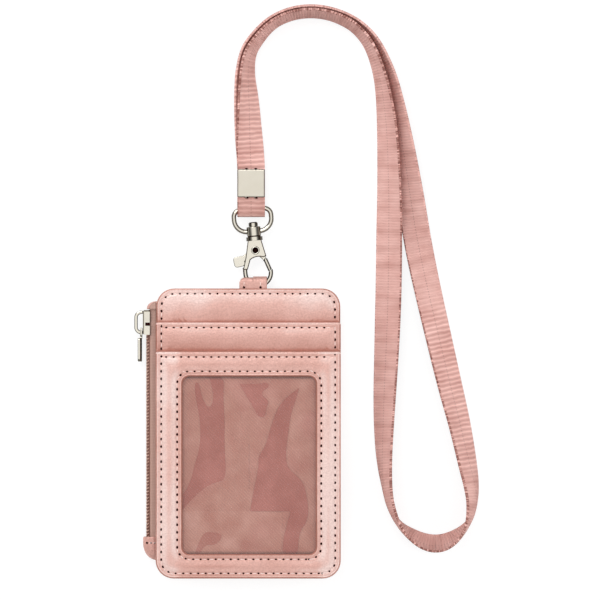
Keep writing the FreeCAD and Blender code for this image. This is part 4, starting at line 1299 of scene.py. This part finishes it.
def new_material(name):
    """A material, its node tree, its main shader and the place on the object."""
    material = bpy.data.materials.new(name)
    material.use_nodes = True
    tree = material.node_tree
    return material, tree, tree.nodes["Principled BSDF"], add_node(tree, "ShaderNodeTexCoord", "Object", {})


def noise_of(tree, source, scale_and_detail):
    scale, detail = scale_and_detail
    return add_node(tree, "ShaderNodeTexNoise", "Fac", {"Vector": source, "Scale": scale, "Detail": detail})


def ramp_of(tree, source, stops):
    """Colours along a value, from (place, colour) stops."""
    node = tree.nodes.new("ShaderNodeValToRGB")
    elements = node.color_ramp.elements
    while len(elements) < len(stops):
        elements.new(ramp_middle_share)
    for element, (place, colour) in zip(elements, stops):
        element.position = place
        element.color = (*colour, 1)
    feed(tree, node, {"Fac": source})
    return node.outputs["Color"]


def span_of(tree, source, start, end):
    """A value moved from one span into another."""
    spans = {"From Min": start[0], "From Max": start[1], "To Min": end[0], "To Max": end[1]}
    return add_node(tree, "ShaderNodeMapRange", "Result", {"Value": source, **spans})


def bump_of(tree, source, depth, below=None):
    """A relief of a depth in metres, on top of another."""
    inputs = {"Distance": depth, "Height": source}
    if below:
        inputs["Normal"] = below
    return add_node(tree, "ShaderNodeBump", "Normal", inputs)


def bands_of(tree, source, weave, direction):
    """Ridges at a pitch in metres, which wander a little."""
    pitch, wander = weave
    inputs = {"Vector": source, "Scale": math.pi / wave_texture_share / pitch, "Distortion": wander,
              "Detail": 1, "Detail Scale": wander_scale}
    return add_node(tree, "ShaderNodeTexWave", "Fac", inputs, bands_direction=direction)


def streaks_of(tree, source, stretch):
    """Uneven streaks: noise that is stretched by a different number along each axis."""
    stretched = add_node(tree, "ShaderNodeMapping", "Vector", {"Vector": source, "Scale": stretch})
    return noise_of(tree, stretched, streak_noise)


def mixed(tree, share, first, second, blend="MIX"):
    """Two colours or values mixed by a share."""
    inputs = {"Factor": share, "A": first, "B": second}
    return add_node(tree, "ShaderNodeMix", "Result", inputs, data_type="RGBA", blend_type=blend)


def multiplied(tree, first, second):
    return mixed(tree, 1, first, second, "MULTIPLY")


def worked_out(tree, operation, first, second=0):
    """The result of one sum or comparison."""
    return add_node(tree, "ShaderNodeMath", 0, {0: first, 1: second}, operation=operation)


def attribute_of(tree, name):
    return add_node(tree, "ShaderNodeAttribute", "Fac", {}, attribute_name=name)


def part_of(tree, source, axis):
    return add_node(tree, "ShaderNodeSeparateXYZ", axis, {"Vector": source})


# Materials


def make_leather():
    """Soft grained leather, a little mottled, coloured by each sheet's tone with its painted highlights and
    shade.
    """
    material, tree, shader, place = new_material("leather")
    tone = worked_out(tree, "ADD", noise_of(tree, place, leather_mottle), attribute_of(tree, "tone"))
    speckle = ramp_of(tree, noise_of(tree, place, leather_speckle), leather_speckle_shades)
    cell_inputs = {"Vector": place, "Scale": leather_cell_scale}
    cells = add_node(tree, "ShaderNodeTexVoronoi", "Distance", cell_inputs, feature="SMOOTH_F1")
    grain = bump_of(tree, cells, leather_cell_depth)
    feed(tree, shader, {
        "Base Color": multiplied(tree, ramp_of(tree, tone, leather_stops), speckle),
        "Normal": bump_of(tree, noise_of(tree, place, leather_grain), leather_grain_depth, grain),
        "Roughness": span_of(tree, noise_of(tree, place, leather_gloss), unit_span, leather_roughness),
        "Metallic": leather_metallic,
        "Specular IOR Level": leather_specular,
    })
    return material


def make_twill():
    """Lining cloth with a slanting weave, with painted shade beside the window's frame, and darker or paler
    where the film clings.
    """
    material, tree, shader, place = new_material("lining")
    tone = worked_out(tree, "ADD", noise_of(tree, place, twill_clouds), attribute_of(tree, "cling"))
    weave = bands_of(tree, place, twill_weave, "DIAGONAL")
    colour = multiplied(tree, ramp_of(tree, tone, twill_stops), ramp_of(tree, weave, twill_thread_shades))
    colour = multiplied(tree, colour, ramp_of(tree, noise_of(tree, place, twill_mottle), twill_mottle_shades))
    x0, x1, y0, y1 = window_opening()[:4]
    for axis, low, high, painted_shade_depth in zip("XY", (x0, y0), (x1, y1), frame_painted_shade):
        aside = worked_out(tree, "SUBTRACT", part_of(tree, place, axis), (low + high) / 2)
        half = (high - low) / 2
        reach = (half - frame_shade_reach, half)
        shaded = span_of(tree, worked_out(tree, "ABSOLUTE", aside), reach, (1, painted_shade_depth))
        colour = multiplied(tree, colour, shaded)
    relief = bump_of(tree, weave, twill_weave_depth)
    feed(tree, shader, {"Base Color": colour, "Normal": relief, "Roughness": cloth_roughness})
    return material


def make_film_material():
    """Clear film with a little haze."""
    material, tree, shader, place = new_material("clear_film")
    feed(tree, shader, {
        "Base Color": (*film_colour, 1),
        "Roughness": span_of(tree, noise_of(tree, place, film_haze), unit_span, film_roughness),
        "Alpha": film_alpha,
        "IOR": film_refraction,
    })
    return material


def make_webbing_material(name, stops):
    """Ribbed webbing with a row of stitches down its middle and dashed threads at its edges; its ribs carry
    painted shade and highlight, its streaks partly painted shade of folds, and its inner edge painted shade.
    """
    material, tree, shader, space = new_material(name)
    place = add_node(tree, "ShaderNodeUVMap", "UV", {}, uv_map="along_across")
    across = part_of(tree, place, "Y")
    fine = bands_of(tree, place, webbing_fine_ribs, "X")
    coarse = bands_of(tree, place, (strap_rib_pitch, webbing_coarse_wander), "X")
    share = attribute_of(tree, "coarse")
    colour = ramp_of(tree, noise_of(tree, space, webbing_mottle), stops)
    fine_shade = ramp_of(tree, fine, webbing_fine_rib_painted_shade)
    coarse_shade = ramp_of(tree, coarse, webbing_coarse_rib_painted_light)
    colour = multiplied(tree, colour, mixed(tree, share, fine_shade, coarse_shade))
    streaks = ramp_of(tree, streaks_of(tree, place, webbing_streaks), webbing_streak_tone_and_fold_shade)
    colour = multiplied(tree, colour, streaks)
    dashes = ramp_of(tree, bands_of(tree, place, centre_row_stitches, "X"), centre_row_shades)
    at_centre = worked_out(tree, "LESS_THAN", worked_out(tree, "ABSOLUTE", across), centre_row_half)
    colour = mixed(tree, at_centre, colour, multiplied(tree, colour, dashes))
    edge = strap_width / 2 - edge_row_inset
    edge_rows = (("GREATER_THAN", edge, inner_row_dashes_and_painted_shade), ("LESS_THAN", -edge, outer_row_shades))
    for operation, limit, shades in edge_rows:
        dashes = ramp_of(tree, streaks_of(tree, place, edge_row_streaks), shades)
        at_edge = worked_out(tree, operation, across, limit)
        colour = mixed(tree, at_edge, colour, multiplied(tree, colour, dashes))
    feed(tree, shader, {
        "Base Color": colour,
        "Normal": bump_of(tree, mixed(tree, share, fine, coarse), webbing_rib_depth),
        "Roughness": cloth_roughness,
        "Specular IOR Level": webbing_specular,
    })
    return material


def make_tape_material():
    """Woven zip tape, with painted shade along the teeth and under the panel's edge."""
    material, tree, shader, place = new_material("zip_tape")
    weave = bands_of(tree, place, tape_weave, "Y")
    aside = span_of(tree, part_of(tree, place, "X"), tape_seen_x, unit_span)
    sides = ramp_of(tree, aside, tape_painted_side_shade)
    feed(tree, shader, {
        "Base Color": multiplied(tree, ramp_of(tree, weave, tape_stops), sides),
        "Normal": bump_of(tree, weave, tape_weave_depth),
        "Roughness": tape_roughness,
    })
    return material


def make_plain(name, stops, roughness, specular):
    """Slightly uneven smooth material, for the coil, the threads and the painted shade of holes and gaps."""
    material, tree, shader, place = new_material(name)
    uneven = noise_of(tree, place, plain_noise)
    feed(tree, shader, {
        "Base Color": ramp_of(tree, uneven, stops),
        "Normal": bump_of(tree, uneven, plain_depth),
        "Roughness": roughness,
        "Specular IOR Level": specular,
    })
    return material


def make_metal(name, stops, roughness, flank_painted_shade):
    """Plated metal with faint polishing marks, bright on its faces and darkened on its flanks by painted
    shade and painted reflection.
    """
    material, tree, shader, place = new_material(name)
    facing = part_of(tree, add_node(tree, "ShaderNodeTexCoord", "Normal", {}), "Z")
    flank = ramp_of(tree, worked_out(tree, "ABSOLUTE", facing), flank_painted_shade)
    feed(tree, shader, {
        "Base Color": multiplied(tree, ramp_of(tree, noise_of(tree, place, metal_clouds), stops), flank),
        "Normal": bump_of(tree, noise_of(tree, place, metal_dents), metal_dent_depth),
        "Roughness": span_of(tree, noise_of(tree, place, metal_marks), unit_span, roughness),
        "Metallic": 1,
    })
    return material


# Floor, light and camera


def seen_share(tree, strength):
    """A strength that counts only for what the camera sees, mirrored and through clear things too."""
    seen = 0
    for ray in ("Is Camera Ray", "Is Glossy Ray", "Is Transmission Ray"):
        seen = worked_out(tree, "MAXIMUM", add_node(tree, "ShaderNodeLightPath", ray, {}), seen)
    return worked_out(tree, "MULTIPLY", seen, strength)


def make_floor():
    """White floor that keeps a faint shadow of the object."""
    material, tree, shader, place = new_material("floor")
    feed(tree, shader, {
        "Base Color": (*floor_colour, 1),
        "Roughness": 1,
        "Specular IOR Level": 0,
        "Emission Color": (1, 1, 1, 1),
        "Emission Strength": seen_share(tree, floor_glow),
    })
    half = floor_size / 2
    corners = [(-half, -half, 0), (half, -half, 0), (half, half, 0), (-half, half, 0)]
    floor = new_object("floor", new_mesh("floor", corners, [(0, 1, 2, 3)], material))
    floor.location.z = -floor_gap


def make_world():
    """Soft studio: bright overhead, dark round the sides and pale again at the horizon."""
    world = bpy.data.worlds.new("studio")
    world.use_nodes = True
    tree = world.node_tree
    height = part_of(tree, add_node(tree, "ShaderNodeTexCoord", "Generated", {}), "Z")
    feed(tree, tree.nodes["Background"], {"Color": ramp_of(tree, height, sky_stops)})
    bpy.context.scene.world = world


def make_lamp(name, place, size, power, mirrored):
    """Square lamp that faces the middle of the picture."""
    lamp = bpy.data.lights.new(name, "AREA")
    lamp.size = size
    lamp.energy = power
    holder = new_object(name, lamp)
    holder.location = place
    holder.rotation_euler = (Vector((*picture_centre, 0)) - Vector(place)).to_track_quat("-Z", "Y").to_euler()
    holder.visible_glossy = mirrored


def make_camera():
    """Long lens straight above the object."""
    camera = bpy.data.cameras.new("camera")
    camera.sensor_width = camera_sensor
    camera.lens = camera_sensor * camera_height / picture_width
    holder = new_object("camera", camera)
    holder.location = (*picture_centre, camera_height)
    bpy.context.scene.camera = holder


leather = make_leather()
twill = make_twill()
film = make_film_material()
webbing = make_webbing_material("webbing", webbing_stops)
# Painted shade: a darker copy of the webbing for its fold at the crimp
shaded_fold_webbing = make_webbing_material("shaded_fold_webbing", fold_painted_shade_stops)
tape = make_tape_material()
coil_plastic = make_plain("zip_teeth", coil_stops, coil_roughness, plain_specular)
thread = make_plain("thread", thread_stops, thread_roughness, plain_specular)
hole_painted_shade = make_plain("hole_painted_shade", hole_painted_shade_stops, hole_roughness, 0)
nickel = make_metal("nickel", nickel_stops, nickel_roughness, metal_flank_painted_shade)
# The same nickel with stronger painted shade on its flanks, for the hook, its rivet and its lever
hook_nickel_painted_flanks = make_metal("hook_nickel_painted_flanks", nickel_stops, nickel_roughness, hook_flank_painted_shade)
crimp_metal = make_metal("crimp", crimp_stops, crimp_roughness, metal_flank_painted_shade)

make_back()
make_cloth("divider_cloth", "pocket_divider", (panel_corner, panel_corner), 0, 0)
make_leather_sheet("leather_front", "base_panel", (panel_corner, panel_corner), 0, front_seed)
make_leather_sheet("leather_band", "slot_strip", (sharp_corner, strip_corner), layer_sink, band_seed)
make_cloth("lining_cloth", "slot_lining", (panel_corner, sharp_corner), layer_sink, lining_wave)
make_cling_patches()
make_leather_sheet("leather_window", "window_panel", (panel_corner, strip_corner), layer_sink, window_seed,
                   window_opening())
make_film()
make_loop()
make_tape(1, "tape_front", "zip_tape_front")
make_tape(-1, "tape_back", "zip_tape_back")
make_coil("coil_front", "zip_teeth_front")
make_coil("coil_back", "zip_teeth_back")
make_zip_end("leather_end_upper", "zip_end_upper", True, upper_end_straight)
make_zip_end("leather_end_lower", "zip_end_lower", False, lower_end_straight)
make_tape_end()
make_slider_gap()
make_strap()
make_strap_fold()
make_stitches()
dress_metal()
make_leaf_spring()
make_rivet_core()
make_swivel_gap_shade()
make_prong_gaps()

make_floor()
make_world()
for lamp_settings in lamps:
    make_lamp(*lamp_settings)
make_camera()
bpy.context.scene.view_settings.view_transform = "Standard"
